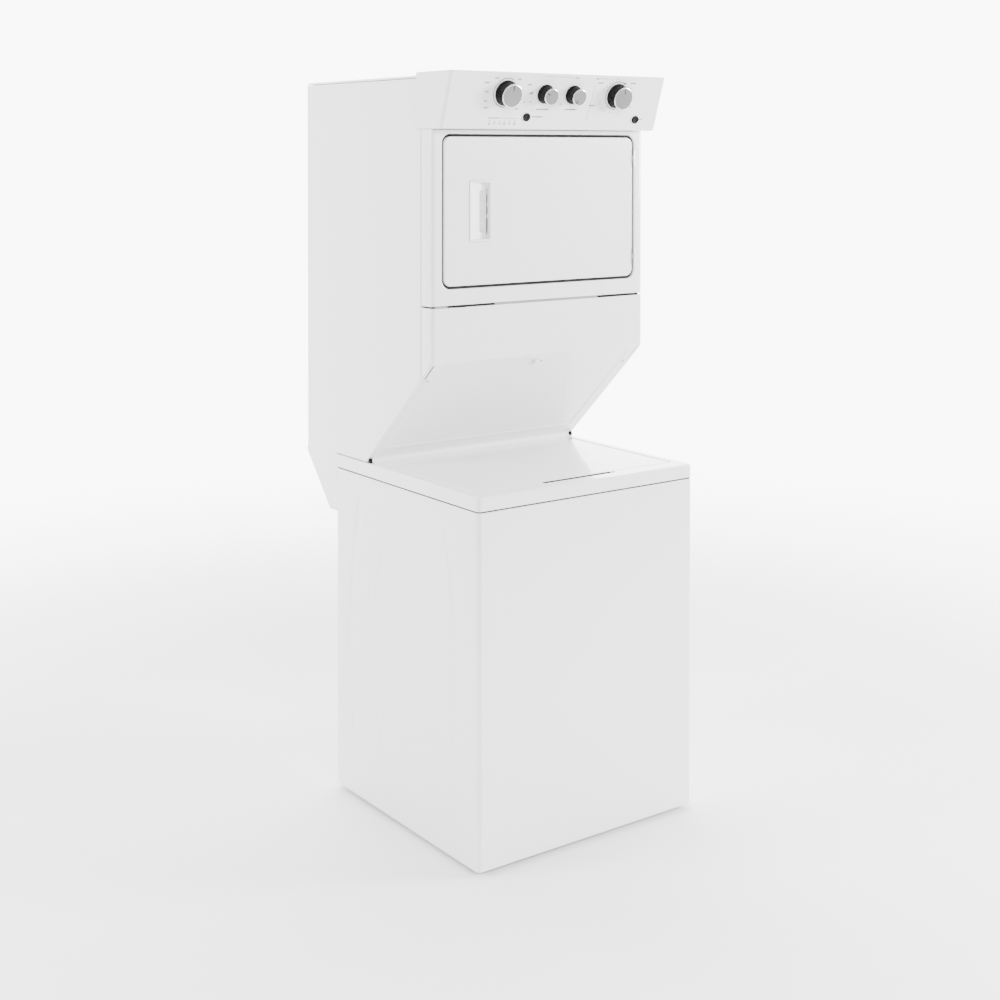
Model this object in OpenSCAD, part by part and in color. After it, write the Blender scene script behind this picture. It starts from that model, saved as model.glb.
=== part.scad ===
// Washer dryer stack: a top-loading washer with a front-loading dryer carried over it.
// Millimetres. +Z is up, the front faces -Y, and the origin is the middle of the footprint on the floor.

/* [Overall] */
// Width over the console, the widest piece
overall_w = 692.2; // [690:0.1:700]
// Depth from the washer's front to the back edge of the dryer's sides
overall_d = 823.9; // [820:0.1:830]
// Height to the top of the console
overall_h = 1917.7; // [1915:0.1:1922]
// Thickness of the sheet steel
sheet = 1.2; // [1:0.1:1.4]

/* [Washer cabinet] */
// Width of the washer
washer_w = 686; // [684:1:688]
// Depth of the washer
washer_d = 660; // [656:1:662]
// Height of the cabinet's lower edge above the floor
cabinet_z = 12; // [12:0.5:14]
// Height of the cabinet's upper edge
cabinet_top = 866; // [864:1:867]
// Radius of the upright front corners
corner_r = 12; // [10:1:14]
// Depth of the arcs pressed into the sides
press = 1; // [0.6:0.1:1.1]

/* [Washer top and lid] */
// Height of the deck
deck_z = 903.5; // [903:0.5:904]
// Thickness of the deck's walls
deck_t = 2; // [1.5:0.5:2.5]
// Width of the lid
lid_w = 630; // [620:1:632]
// Front edge of the lid
lid_front = -357; // [-358:1:-352]
// Back edge of the lid
lid_back = 76; // [74:1:77]
// Thickness of the lid
lid_h = 15; // [13:1:16]
// Width of the finger scoop in front of the lid
scoop_w = 250; // [200:5:260]

/* [Washer workings] */
// Distance of the tub's axis from the middle of the footprint
tub_y = -95; // [-97:1:-93]
// Outer radius of the tub
tub_r = 268; // [264:1:270]
// Outer radius of the basket
basket_r = 245; // [240:1:247]
// Height of the tub's floor
tub_z = 250; // [248:1:252]
// Height of the tub's rim
tub_top = 858; // [850:1:860]
// Radius of the drive pulley
drive_pulley_r = 90; // [80:1:95]
// Radius of the washer motor's pulley
motor_pulley_r = 20; // [16:1:24]

/* [Dryer body] */
// Width of the dryer's body
dryer_w = 684; // [682:1:685]
// Height of the dryer's top panel
dryer_top = 1910; // [1908:0.5:1911]
// Height of the dryer's lower edge above the washer's deck
dryer_z = 906; // [905.5:0.5:907]
// Front face of the door surround
front_y = -214; // [-215:0.5:-213]
// Front edge of the side panels
side_y = -164; // [-166:1:-162]
// Height of the seam between the door surround and the access panel
seam_z = 1335; // [1333:1:1337]
// Height where the sloped panel starts
slope_z = 1198; // [1196:1:1200]
// Place of the sloped panel's foot
foot_y = 89; // [88:0.5:90]
// Height of the sloped panel's foot
foot_z = 917; // [915:1:918]
// How far the rear panel sits inside the sides' back edges
rear_inset = 34; // [33:1:36]
// Lower end of the rear stand
stand_z = 749; // [740:1:760]

/* [Dryer workings] */
// Outer radius of the drum
drum_r = 291; // [288:1:291]
// Height of the drum's axis
drum_z = 1590; // [1589:1:1592]
// Front end of the drum
drum_front = -140; // [-141:1:-139]
// Back end of the drum
drum_back = 334; // [332:1:334]
// Radius of the support rollers
roller_r = 32; // [28:1:33]
// Radius of the dryer motor's pulley
rotor_r = 10; // [9:0.5:12]
// Height of the motor's axis
motor_z = 1190; // [1188:1:1191]
// Outer radius of the exhaust duct
exhaust_r = 50.5; // [49:0.5:50.8]
// Side offset of the exhaust duct
exhaust_x = -140; // [-145:1:-138]
// Height of the exhaust duct
exhaust_z = 1125; // [1120:1:1130]

/* [Dryer door] */
// Half of the width of the door's recess
recess_x = 312; // [310:1:314]
// Lower edge of the door's recess
recess_z0 = 1379; // [1377:1:1381]
// Upper edge of the door's recess
recess_z1 = 1764; // [1762:1:1765]
// Gap round the door
door_gap = 6.5; // [6:0.5:7]
// Depth of the door's recess
recess_d = 30; // [30:0.5:31]
// Place of the handle's middle
handle_x = -195.5; // [-200:0.5:-190]
// Width of the handle's frame
handle_w = 69; // [66:1:70]
// Height of the handle's frame
handle_h = 154; // [150:1:156]

/* [Console] */
// Lower edge of the console
console_z = 1776; // [1775.8:0.1:1777]
// Front edge at the top
console_top_y = -303; // [-305:1:-301]
// Front edge at the bottom
console_bot_y = -257; // [-259:1:-255]
// Back edge of the console
console_back = -148; // [-149:1:-147]
// Radius of the two large knobs' skirts
big_knob_r = 33; // [31:0.5:34]
// Radius of the two small knobs' skirts
small_knob_r = 25; // [23:0.5:26]
// How far the knobs stand out
knob_h = 31; // [28:1:34]
// Radius of the start buttons
button_r = 11; // [10:0.5:12]

/* [Hidden] */
$fn = 64;
washer_front = -overall_d / 2;
washer_back = washer_front + washer_d;
washer_mid = (washer_front + washer_back) / 2;
dryer_back = overall_d / 2;
rear_y = dryer_back - rear_inset;
slope_angle = atan2(slope_z - foot_z, foot_y - front_y);
bulkhead_y = drum_front - 4;
rear_bulkhead_y = drum_back + 2;
recess_y = front_y + recess_d;
door_mid_z = (recess_z0 + recess_z1) / 2;
throat_w = 400;
throat_h = 290;
throat_r = 70;
hinge_x = recess_x - door_gap / 2;
hinge_y = front_y - 2;
hinge_r = 3;
pin_r = 1.5;
hinge_zs = [1439, 1703];
hinge_h = 44;
cove_r = 8;
screw_y = -160;
lid_hinge_y = lid_back - 6;
lid_hinge_z = deck_z - 8;
well_z = deck_z - 19;
face_angle = atan2(console_bot_y - console_top_y, overall_h - console_z);
fit_gap = 0.05;
belt_t = 3;
belt_gap = 0.6;
hub_r = 16;
shaft_r = 10;
washer_motor_at = [175, tub_y + 60];
belt_z = 104;
screen_y = -163;
roller_angles = [-42, 42];
roller_y = 305;
drum_belt_y = 209;
idler_at = [70, 1252];
idler_r = 20;
knob_z = 1866;
big_knob_x = [-170, 189];
small_knob_x = [-47, 43];
start_buttons = [[-92.3, 1807], [268.7, 1805]];

// Outlines and small helpers

// A rectangle from corner a to corner b with round corners, exact arcs
module round_rect(a, b, r) {
    translate([a[0] + r, a[1]]) square([b[0] - a[0] - 2 * r, b[1] - a[1]]);
    translate([a[0], a[1] + r]) square([b[0] - a[0], b[1] - a[1] - 2 * r]);
    for (x = [a[0] + r, b[0] - r], y = [a[1] + r, b[1] - r]) translate([x, y]) circle(r);
}

// A rectangle with only its two front (low y) corners round
module front_rounded(a, b, r) {
    translate([a[0], a[1] + r]) square([b[0] - a[0], b[1] - a[1] - r]);
    translate([a[0] + r, a[1]]) square([b[0] - a[0] - 2 * r, r]);
    for (x = [a[0] + r, b[0] - r]) translate([x, a[1] + r]) circle(r);
}

module block(a, b) { translate(a) cube(b - a); }

// Stands a drawing of x and z upright, with its front at y and its thickness t towards the back
module upright(y, t) { translate([0, y + t, 0]) rotate([90, 0, 0]) linear_extrude(t) children(); }

// Extrudes a drawing of y and z along x, from x to x + t
module across(x, t) { translate([x, 0, 0]) rotate([90, 0, 90]) linear_extrude(t) children(); }

module ring(r_out, r_in, h) {
    difference() {
        cylinder(r = r_out, h = h);
        translate([0, 0, -1]) cylinder(r = r_in, h = h + 2);
    }
}

// Both sides of the object, mirrored in the plane x = 0
module both_sides() { children(); mirror([1, 0, 0]) children(); }

// Turns a piece from +Z to +Y, so that it runs towards the back from y
module along_y(x, y, z) { translate([x, y, z]) rotate([-90, 0, 0]) children(); }

// Height of the sloped panel's outer face at y, and a frame on it whose +Z points out of the face
function slope_at(y) = foot_z + (foot_y - y) * tan(slope_angle);
module on_slope(x, y) { translate([x, y, slope_at(y)]) rotate([180 - slope_angle, 0, 0]) children(); }

// Console face: y at height z, and a frame on it whose +Z points out of the face
function face_y(z) = console_bot_y - (z - console_z) * tan(face_angle);
module on_face(x, z) { translate([x, face_y(z), z]) rotate([90 + face_angle, 0, 0]) children(); }

// Belt round wheels [x, y, r], listed anticlockwise and all inside the loop. leave() is the direction in
// which the belt leaves wheel a for wheel b.
function leave(a, b) = let (d = [b[0] - a[0], b[1] - a[1]])
    atan2(d[1], d[0]) - acos((a[2] - b[2]) / norm(d));
function wheel_arc(w, from, to, grow) = let (sweep = (to - from + 720) % 360, n = ceil(sweep / 5))
    [for (i = [0 : n]) [w[0], w[1]] + (w[2] + grow) * [cos(from + sweep * i / n), sin(from + sweep * i / n)]];
function belt_outline(wheels, grow) = let (n = len(wheels))
    [for (i = [0 : n - 1]) let (w = wheels[i]) each wheel_arc(w, leave(wheels[(i + n - 1) % n], w),
        leave(w, wheels[(i + 1) % n]), grow)];
module belt(wheels, width) {
    linear_extrude(width) difference() {
        polygon(belt_outline(wheels, belt_gap + belt_t));
        polygon(belt_outline(wheels, belt_gap));
    }
}

// Washer cabinet and frame

module wrap(inset) {
    front_rounded([-washer_w / 2 + inset, washer_front + inset], [washer_w / 2 - inset, washer_back],
        corner_r - inset);
}

// One arc on the right side, from x0 to x0 + h and width wide. It bows to the front (way -1) or the
// back (+1) of the side's middle, by bow_r over twice half_angle.
module side_arc(offset, bow_r, half_angle, width, way, x0, h) {
    mid_z = 427;
    centre_y = washer_mid + 6 + way * (offset - bow_r);
    translate([x0, centre_y, mid_z]) rotate([0, 90, 0]) rotate([0, 0, way * 90 - half_angle])
        rotate_extrude(angle = 2 * half_angle, $fn = 256)
        translate([bow_r - width / 2, 0]) square([width, h]);
}

// The two wide and two narrow arcs of the right side, with s more on each edge
module side_arcs(s, x0, h) {
    for (way = [-1, 1]) {
        side_arc(250, 1394, 14.6 + s / 24, 24 + 2 * s, way, x0, h);
        side_arc(138, 925, 17.8 + s / 16, 7 + 2 * s, way, x0, h);
    }
}

module washer_cabinet() color("white") {
    lip = 18;
    return_w = 25;
    outer = washer_w / 2;
    difference() {
        union() {
            cabinet_shell(lip, return_w);
            both_sides() side_arcs(2, outer - sheet - press, press + sheet / 2);
        }
        both_sides() side_arcs(0, outer - press, 2 * press);
    }
}

module cabinet_shell(lip, return_w) {
    difference() {
        translate([0, 0, cabinet_z]) linear_extrude(cabinet_top - cabinet_z) wrap(0);
        translate([0, 0, cabinet_z - 1]) linear_extrude(cabinet_top - cabinet_z + 1 - sheet)
            intersection() {
                wrap(sheet);
                translate([-washer_w, washer_front]) square([2 * washer_w, washer_d - sheet]);
            }
        block([-washer_w / 2 + lip, washer_front + lip, cabinet_top - 2 * sheet],
            [washer_w / 2 - lip, washer_back - lip, cabinet_top + 1]);
        block([-washer_w / 2 + return_w, washer_back - 2 * sheet, 0],
            [washer_w / 2 - return_w, washer_back + 1, cabinet_top + 1]);
    }
}

foot_xy = [for (x = [-300, 300], y = [washer_front + 42, washer_back - 43]) [x, y]];

// Outline of the base frame, inset from the cabinet
module frame_outline(inset) {
    front_rounded([-washer_w / 2 + inset, washer_front + inset],
        [washer_w / 2 - inset, washer_back - 2 * sheet], corner_r - sheet);
}

module washer_base_frame() color("dimgray") {
    rail = 34;
    height = 30;
    back = washer_back - 2 * sheet;
    difference() {
        translate([0, 0, cabinet_z]) linear_extrude(height) frame_outline(sheet);
        translate([0, 0, cabinet_z + 2]) linear_extrude(height) difference() {
            frame_outline(sheet + 2);
            translate([-washer_w, back - 2]) square([2 * washer_w, 10]);
        }
        translate([0, 0, cabinet_z - 1]) linear_extrude(height)
            round_rect([-washer_w / 2 + rail, washer_front + rail],
                [washer_w / 2 - rail, back - rail], 60);
        for (p = foot_xy) translate([p[0], p[1], 0]) cylinder(r = 5.2, h = 60);
    }
}

module washer_rear_panel() color("lightgray") {
    y = washer_back - 2 * sheet;
    half = washer_w / 2 - sheet;
    difference() {
        union() {
            block([-half, y, cabinet_z], [half, y + sheet, cabinet_top - sheet]);
            block([-half, y - 18, cabinet_top - 2 * sheet], [half, y, cabinet_top - sheet]);
        }
        for (x = inlet_xs) along_y(x, y - 5, service_z) cylinder(r = 15, h = 10);
        along_y(drain_x, y - 5, service_z) cylinder(r = 14, h = 10);
    }
}

module levelling_feet() {
    for (p = foot_xy) translate([p[0], p[1], 0]) {
        color("dimgray") cylinder(r = 20, h = 7);
        color("silver") translate([0, 0, 7]) cylinder(r = 10, h = 5, $fn = 6);
        color("silver") translate([0, 0, 12]) cylinder(r = 4.8, h = 30);
    }
}

// Washer top and lid

well_x = lid_w / 2 + 3.5;
well_front = lid_front - 3;
well_back = lid_back + 5;
mouth = [[-222, -322], [222, 34]];
mouth_r = 110;

module washer_top() color("white") {
    base_z = cabinet_top + 3;
    difference() {
        translate([0, 0, base_z]) linear_extrude(deck_z - base_z)
            front_rounded([-washer_w / 2, washer_front], [washer_w / 2, washer_back], corner_r);
        translate([0, 0, base_z - 1]) linear_extrude(deck_z - base_z + 1 - deck_t) difference() {
            front_rounded([-washer_w / 2 + deck_t, washer_front + deck_t],
                [washer_w / 2 - deck_t, washer_back - deck_t], corner_r - deck_t);
            round_rect([-well_x - deck_t, well_front - 14 - deck_t],
                [well_x + deck_t, well_back + deck_t], 10);
        }
        translate([0, 0, base_z - 1]) linear_extrude(well_z - deck_t - base_z + 1) difference() {
            round_rect([-well_x - 3 * deck_t, well_front - 14 - 3 * deck_t],
                [well_x + 3 * deck_t, well_back + 3 * deck_t], 10);
            round_rect(mouth[0] - [deck_t, deck_t], mouth[1] + [deck_t, deck_t], mouth_r + deck_t);
        }
        translate([0, 0, well_z]) linear_extrude(deck_z) {
            round_rect([-well_x, well_front], [well_x, well_back], 8);
            polygon([[-scoop_w / 2, well_front + 1], [scoop_w / 2, well_front + 1],
                [scoop_w / 2 - 16, well_front - 12], [-scoop_w / 2 + 16, well_front - 12]]);
        }
        translate([0, 0, base_z - 1]) linear_extrude(deck_z) round_rect(mouth[0], mouth[1], mouth_r);
        for (x = [-well_x - 10, well_x - 2]) translate([x, lid_hinge_y, lid_hinge_z])
            rotate([0, 90, 0]) cylinder(r = 4 + fit_gap, h = 12);
    }
    // rib that rests on the cabinet and leaves the shadow line
    translate([0, 0, cabinet_top]) linear_extrude(3) difference() {
        front_rounded([-washer_w / 2 + 4, washer_front + 4], [washer_w / 2 - 4, washer_back - 4], 8);
        front_rounded([-washer_w / 2 + 8, washer_front + 8], [washer_w / 2 - 8, washer_back - 8], 4);
    }
    translate([0, 0, cabinet_top + 3]) linear_extrude(deck_z - deck_t - cabinet_top - 3) difference() {
        front_rounded([-washer_w / 2 + deck_t, washer_front + deck_t],
            [washer_w / 2 - deck_t, washer_back - deck_t], corner_r - deck_t);
        front_rounded([-washer_w / 2 + 8, washer_front + 8], [washer_w / 2 - 8, washer_back - 8], 4);
    }
}

module washer_lid() color("white") {
    half = lid_w / 2;
    difference() {
        translate([0, 0, deck_z - lid_h]) linear_extrude(lid_h)
            round_rect([-half, lid_front], [half, lid_back], 8);
        translate([0, 0, deck_z - lid_h - 1]) linear_extrude(lid_h + 1 - deck_t)
            round_rect([-half + 3, lid_front + 3], [half - 3, lid_back - 14], 6);
    }
    translate([0, 0, deck_z - lid_h]) linear_extrude(1.5)
        round_rect([-half + 3, lid_front + 3], [half - 3, lid_back - 14], 6);
    for (x = [-half - 8, half]) translate([x, lid_hinge_y, lid_hinge_z])
        rotate([0, 90, 0]) cylinder(r = 4, h = 8);
}

module lid_lock() color("dimgray") {
    block([238, washer_front + 20, 846], [300, washer_front + 66, well_z - deck_t]);
}

// Rubber bumper near the slope's upper edge, where the open lid rests, and its screw
module lid_bumper() color("gray") {
    y = front_y + 26;
    on_slope(-4, y) cylinder(r = 9, h = 8);
    on_slope(14, y) cylinder(r = 3, h = 3);
}

// Washer workings

module outer_tub() color("whitesmoke") {
    wall = 3;
    translate([0, tub_y, 0]) {
        difference() {
            translate([0, 0, tub_z]) cylinder(r = tub_r, h = tub_top - 8 - tub_z, $fn = 128);
            translate([0, 0, tub_z + wall]) cylinder(r = tub_r - wall, h = 900, $fn = 128);
            translate([0, 0, tub_z - 1]) cylinder(r = hub_r + fit_gap, h = 10);
        }
        translate([0, 0, tub_top - 8]) ring(tub_r, 218, 8, $fn = 128);
        for (a = rod_angles) rotate([0, 0, a]) difference() {
            block([tub_r - 1, -20, 300], [rod_reach + 16, 20, 306]);
            translate([rod_reach, 0, 290]) cylinder(r = 6, h = 30);
        }
    }
}

module wash_basket() color("silver") {
    floor_z = 330;
    rim_z = 806;
    translate([0, tub_y, 0]) {
        difference() {
            translate([0, 0, floor_z]) cylinder(r = basket_r, h = rim_z - floor_z, $fn = 128);
            translate([0, 0, floor_z + 2]) cylinder(r = basket_r - 2, h = rim_z, $fn = 128);
            for (z = [400 : 80 : 760], a = [0 : 45 : 179]) translate([0, 0, z]) rotate([90, 0, a + z])
                translate([0, 0, -300]) cylinder(r = 5, h = 600);
            translate([0, 0, floor_z - 1]) cylinder(r = shaft_r + fit_gap, h = 10);
        }
        translate([0, 0, 150]) ring(hub_r, shaft_r + fit_gap, floor_z - 150);
    }
}

module balance_ring() color("lightgray") {
    translate([0, tub_y, 806]) {
        ring(basket_r, 212, 34, $fn = 128);
    }
}

module agitator() color("white") {
    base_z = 334;
    vane_h = 290;
    translate([0, tub_y, base_z]) {
        difference() {
            rotate_extrude($fn = 96) polygon([[0, 0], [190, 0], [190, 10], [120, 26], [76, 60], [58, 120],
                [48, vane_h], [44, 352], [26, 366], [0, 366]]);
            translate([0, 0, -1]) cylinder(r = shaft_r, h = 61);
            translate([0, 0, 59]) cylinder(r = 34, h = 270);
        }
        for (a = [0 : 90 : 270]) rotate([0, 0, a]) translate([0, 4, 0]) rotate([90, 0, 0])
            linear_extrude(8) polygon([[100, 10], [185, 10], [180, 24], [125, 48], [92, 110], [78, vane_h],
                [46, vane_h], [56, 120], [74, 60]]);
    }
}

module drive_pulley() color("dimgray") {
    translate([0, tub_y, 0]) {
        difference() {
            translate([0, 0, belt_z - 8]) cylinder(r = drive_pulley_r, h = 22, $fn = 96);
            translate([0, 0, belt_z]) ring(drive_pulley_r + 5, drive_pulley_r - 4, 8, $fn = 96);
            for (a = [0 : 60 : 300]) rotate([0, 0, a]) translate([55, 0, 0]) cylinder(r = 16, h = 200);
        }
        translate([0, 0, belt_z + 14]) cylinder(r = shaft_r, h = 394 - belt_z - 14);
    }
}

module gearcase() color("gray") {
    translate([0, tub_y, 0]) difference() {
        union() {
            translate([0, 0, 150]) cylinder(r = 62, h = 70);
            translate([0, 0, 220]) cylinder(r = 34, h = tub_z - 220);
            for (a = [45 : 90 : 315]) rotate([0, 0, a]) block([50, -12, 200], [150, 12, 206]);
            for (a = [45 : 90 : 315]) rotate([0, 0, a]) block([138, -12, 206], [150, 12, tub_z]);
        }
        translate([0, 0, 100]) cylinder(r = hub_r + fit_gap, h = 200);
    }
}

module washer_motor() color("gray") {
    translate([washer_motor_at[0], washer_motor_at[1], 0]) {
        difference() {
            translate([0, 0, 128]) cylinder(r = 52, h = 104);
            translate([0, 0, 120]) cylinder(r = 6 + fit_gap, h = 60);
        }
        translate([-60, -14, 232]) cube([120, 28, tub_z - 232]);
    }
}

module motor_pulley() color("silver") {
    translate([washer_motor_at[0], washer_motor_at[1], 0]) {
        difference() {
            translate([0, 0, belt_z - 6]) cylinder(r = motor_pulley_r + 4, h = 20);
            translate([0, 0, belt_z]) ring(motor_pulley_r + 6, motor_pulley_r, 8);
        }
        translate([0, 0, belt_z + 14]) cylinder(r = 6, h = 40);
    }
}

module washer_belt() color("dimgray") {
    translate([0, 0, belt_z + 1]) belt([[0, tub_y, drive_pulley_r - 4],
        [washer_motor_at[0], washer_motor_at[1], motor_pulley_r]], 6);
}

rod_angles = [41, 139, 221, 319];
rod_reach = 318;

module suspension_rods() color("silver") {
    translate([0, tub_y, 0]) for (a = rod_angles) {
        p = rod_reach * [cos(a), sin(a)];
        wall_x = sign(p[0]) * (washer_w / 2 - sheet);
        translate([p[0], p[1], 0]) {
            translate([0, 0, 262]) cylinder(r = 4, h = 590);
            translate([0, 0, 262]) cylinder(r = 18, h = 6);
            for (z = [268 : 8 : 292]) translate([0, 0, z]) ring(14, 10, 4);
            translate([0, 0, 852]) cylinder(r = 9, h = 8);
        }
        difference() {
            translate([min(p[0] - 16 * sign(p[0]), wall_x), p[1] - 20, 846])
                cube([abs(wall_x - p[0]) + 16, 40, 6]);
            translate([p[0], p[1], 840]) cylinder(r = 4, h = 20);
        }
    }
}

service_z = 715;
inlet_xs = [-150, -90];
drain_x = 120;
pump_at = [-170, tub_y + 150];

module drain_pump() color("dimgray") {
    translate([pump_at[0], pump_at[1], 0]) {
        translate([0, 0, 130]) cylinder(r = 42, h = 60);
        translate([0, 0, 190]) cylinder(r = 22, h = tub_z - 190);
    }
}

// Corrugated hose from the pump, along the floor of the tub to the back wall, up and out
module elbow(bend, r) { rotate_extrude(angle = 90) translate([bend, 0]) circle(r); }

module drain_hose() color("gray") {
    r = 12.7;
    bend = 40;
    start = [pump_at[0], pump_at[1] + 42, 150];
    along_y(start[0], start[1], start[2]) cylinder(r = r, h = 40);
    translate([start[0] + bend, start[1] + 40, start[2]]) rotate([0, 0, 90]) elbow(bend, r);
    translate([start[0] + bend, start[1] + 40 + bend, start[2]]) rotate([0, 90, 0])
        cylinder(r = r, h = drain_x - start[0] - 2 * bend);
    translate([drain_x - bend, start[1] + 40 + bend, start[2] + bend]) rotate([90, 90, 0]) elbow(bend, r);
    translate([drain_x, start[1] + 40 + bend, start[2] + bend])
        cylinder(r = r, h = service_z - start[2] - 2 * bend);
    translate([drain_x, start[1] + 40 + 2 * bend, service_z - bend]) rotate([90, 0, -90]) elbow(bend, r);
    along_y(drain_x, start[1] + 40 + 2 * bend, service_z)
        cylinder(r = r, h = washer_back + 26 - start[1] - 40 - 2 * bend);
}

module inlet_valve() color("gainsboro") {
    y = washer_back - 2 * sheet;
    block([inlet_xs[0] - 25, y - 46, service_z - 22], [inlet_xs[1] + 25, y - 4, service_z + 22]);
    for (x = inlet_xs) {
        along_y(x, y - 4, service_z) cylinder(r = 17, h = 4);
        along_y(x, y, service_z) cylinder(r = 13.5, h = 20);
    }
}

// Dryer sheet metal

side_outline = [[side_y, slope_at(side_y)], [foot_y, foot_z], [foot_y + 8, dryer_z],
    [dryer_back, dryer_z], [dryer_back, dryer_top - sheet], [console_back + 1.5, dryer_top - sheet],
    [console_back + 1.5, console_z - 1.5], [side_y, console_z - 1.5]];

module dryer_side() color("white") {
    outer = dryer_w / 2;
    flange = 12;
    across(outer - sheet, sheet) polygon(side_outline);
    block([outer - flange, side_y, slope_at(side_y)], [outer - sheet, side_y + sheet, console_z - 1.5]);
    block([outer - flange, dryer_back - sheet, dryer_z], [outer - sheet, dryer_back, dryer_top - sheet]);
    across(outer - flange, flange - sheet) intersection() {
        polygon(side_outline);
        polygon([[side_y, slope_at(side_y)], [foot_y, foot_z],
            [foot_y, foot_z + sheet / cos(slope_angle)],
            [side_y, slope_at(side_y) + sheet / cos(slope_angle)]]);
    }
}

module dryer_side_right() { dryer_side(); }

module dryer_side_left() { mirror([1, 0, 0]) dryer_side(); }

module dryer_top_panel() color("white") {
    half = dryer_w / 2;
    block([-half, console_back + 1.5, dryer_top - sheet], [half, dryer_back, dryer_top]);
    block([-half + 14, console_back + 1.5, dryer_top - 16], [half - 14, console_back + 1.5 + sheet,
        dryer_top - sheet]);
}

module dryer_rear_panel() color("lightgray") {
    half = dryer_w / 2 - sheet;
    difference() {
        block([-half, rear_y - sheet, dryer_z + sheet], [half, rear_y, dryer_top - sheet]);
        along_y(exhaust_x, rear_y - 10, exhaust_z) cylinder(r = exhaust_r + 1, h = 20);
        for (x = [160 : 20 : 260]) upright(rear_y - 5, 10) round_rect([x, 1020], [x + 8, 1080], 3.9);
    }
    // terminal cover with the supply cable's hole in its underside
    difference() {
        block([180, rear_y, 1180], [280, rear_y + 28, 1300]);
        block([182, rear_y - 1, 1183], [278, rear_y + 26, 1298]);
        translate([230, rear_y + 13, 1170]) cylinder(r = 11, h = 20);
    }
}

module rear_stand() color("white") {
    outer = dryer_w / 2;
    across(outer - sheet, sheet) stand_side();
    mirror([1, 0, 0]) across(outer - sheet, sheet) stand_side();
    block([-outer + sheet, washer_back, stand_z], [outer - sheet, washer_back + sheet, dryer_z]);
    block([-outer + sheet, washer_back + sheet, dryer_z - sheet], [outer - sheet, washer_back + 40, dryer_z]);
}

module stand_side() {
    polygon([[washer_back, stand_z], [washer_back + 40, stand_z], [dryer_back, 888], [dryer_back, dryer_z],
        [washer_back, dryer_z]]);
}

module dryer_base_pan() color("lightgray") {
    half = dryer_w / 2 - sheet;
    block([-half, foot_y + 10, dryer_z], [half, rear_y - sheet, dryer_z + sheet]);
    for (x = [-300, 300], y = [foot_y + 22, washer_back - 20])
        translate([x, y, deck_z]) cylinder(r = 10, h = dryer_z - deck_z);
}

// Door surround: a face, round upright edges, returns to the side seam, and the door's recess
module dryer_front_panel() color("white") {
    z0 = seam_z + 2;
    z1 = console_z - 1.5;
    half = dryer_w / 2;
    r = 10;
    difference() {
        translate([0, 0, z0]) linear_extrude(z1 - z0) front_rounded([-half, front_y], [half, side_y], r);
        // hollow behind the face, outside the recess box
        translate([0, 0, z0 + sheet]) difference() {
            linear_extrude(z1 - z0 - 2 * sheet)
                front_rounded([-half + sheet, front_y + sheet], [half - sheet, side_y + 1], r - sheet);
            translate([0, 0, -z0 - sheet]) upright(front_y - 1, recess_d + 1 + sheet)
                round_rect([-recess_x - sheet, recess_z0 - sheet], [recess_x + sheet, recess_z1 + sheet], 26);
        }
        upright(front_y - 1, recess_d + 1) round_rect([-recess_x, recess_z0], [recess_x, recess_z1], 25);
        upright(front_y - 1, 100) throat(0);
        block([-300, recess_y - 5, 1548], [-270, recess_y + 5, 1592]);
        block([-half + 14, screen_y - 10, z0 - 1], [half - 14, side_y + 1, z0 + 3]);
        for (x = [[-297, -178], [167, 310]]) block([x[0], side_y - 60, z0 - 1], [x[1], side_y + 1, z0 + 3]);
    }
    // hinge leaves and knuckles on the recess wall
    for (z = hinge_zs) {
        block([recess_x - 1.2, front_y + 3, z - hinge_h / 2], [recess_x, recess_y - 3, z + hinge_h / 2]);
        for (s = [-1, 1]) {
            zc = z + s * hinge_h / 3;
            translate([hinge_x, hinge_y, zc - hinge_h / 6]) cylinder(r = hinge_r, h = hinge_h / 3 - 0.3);
            block([hinge_x, hinge_y, zc - hinge_h / 6], [recess_x, front_y + 3.2, zc + hinge_h / 6 - 0.3]);
        }
        translate([hinge_x, hinge_y, z - hinge_h / 3]) cylinder(r = pin_r, h = 2 * hinge_h / 3);
    }
}

// Opening from the door into the drum, grown by g
module throat(g) {
    round_rect([-throat_w / 2 - g, door_mid_z - throat_h / 2 - g],
        [throat_w / 2 + g, door_mid_z + throat_h / 2 + g], throat_r + g);
}

module lower_access_panel() color("white") {
    z1 = seam_z - 2;
    half = dryer_w / 2;
    r = 10;
    difference() {
        translate([0, 0, slope_at(side_y)]) linear_extrude(z1 - slope_at(side_y))
            front_rounded([-half, front_y], [half, side_y], r);
        linear_extrude(z1 - sheet)
            front_rounded([-half + sheet, front_y + sheet], [half - sheet, side_y + 1], r - sheet);
        block([-200, front_y + 20, z1 - 10], [200, side_y + 1, z1 + 1]);
        across(-half - 1, 2 * half + 2) polygon([[front_y - 1, slope_at(front_y - 1)],
            [side_y + 1, slope_at(side_y + 1)], [side_y + 1, slope_at(side_y) - 50],
            [front_y - 1, slope_at(side_y) - 50]]);
    }
}

// Side outline of the sloped panel. Its foot is a cove, whose centre lies in front of the panel, one
// radius away from the slope and from the deck.
module sloped_outline() {
    up = [sin(slope_angle), cos(slope_angle)];
    top_y = front_y + 2;
    end_z = deck_z + sheet + cove_r * (1 + cos(slope_angle));
    end = [foot_y - (end_z - foot_z) / tan(slope_angle), end_z];
    polygon([[top_y, slope_at(top_y)], end, end + sheet * up, [top_y, slope_at(top_y) + sheet / up[1]]]);
    translate(end - cove_r * up) intersection() {
        difference() {
            circle(cove_r + sheet);
            circle(cove_r);
        }
        polygon([[0, 0], [0, -2 * cove_r], [2 * cove_r, -2 * cove_r], [2 * cove_r, cove_r], 3 * cove_r * up]);
    }
}

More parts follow.
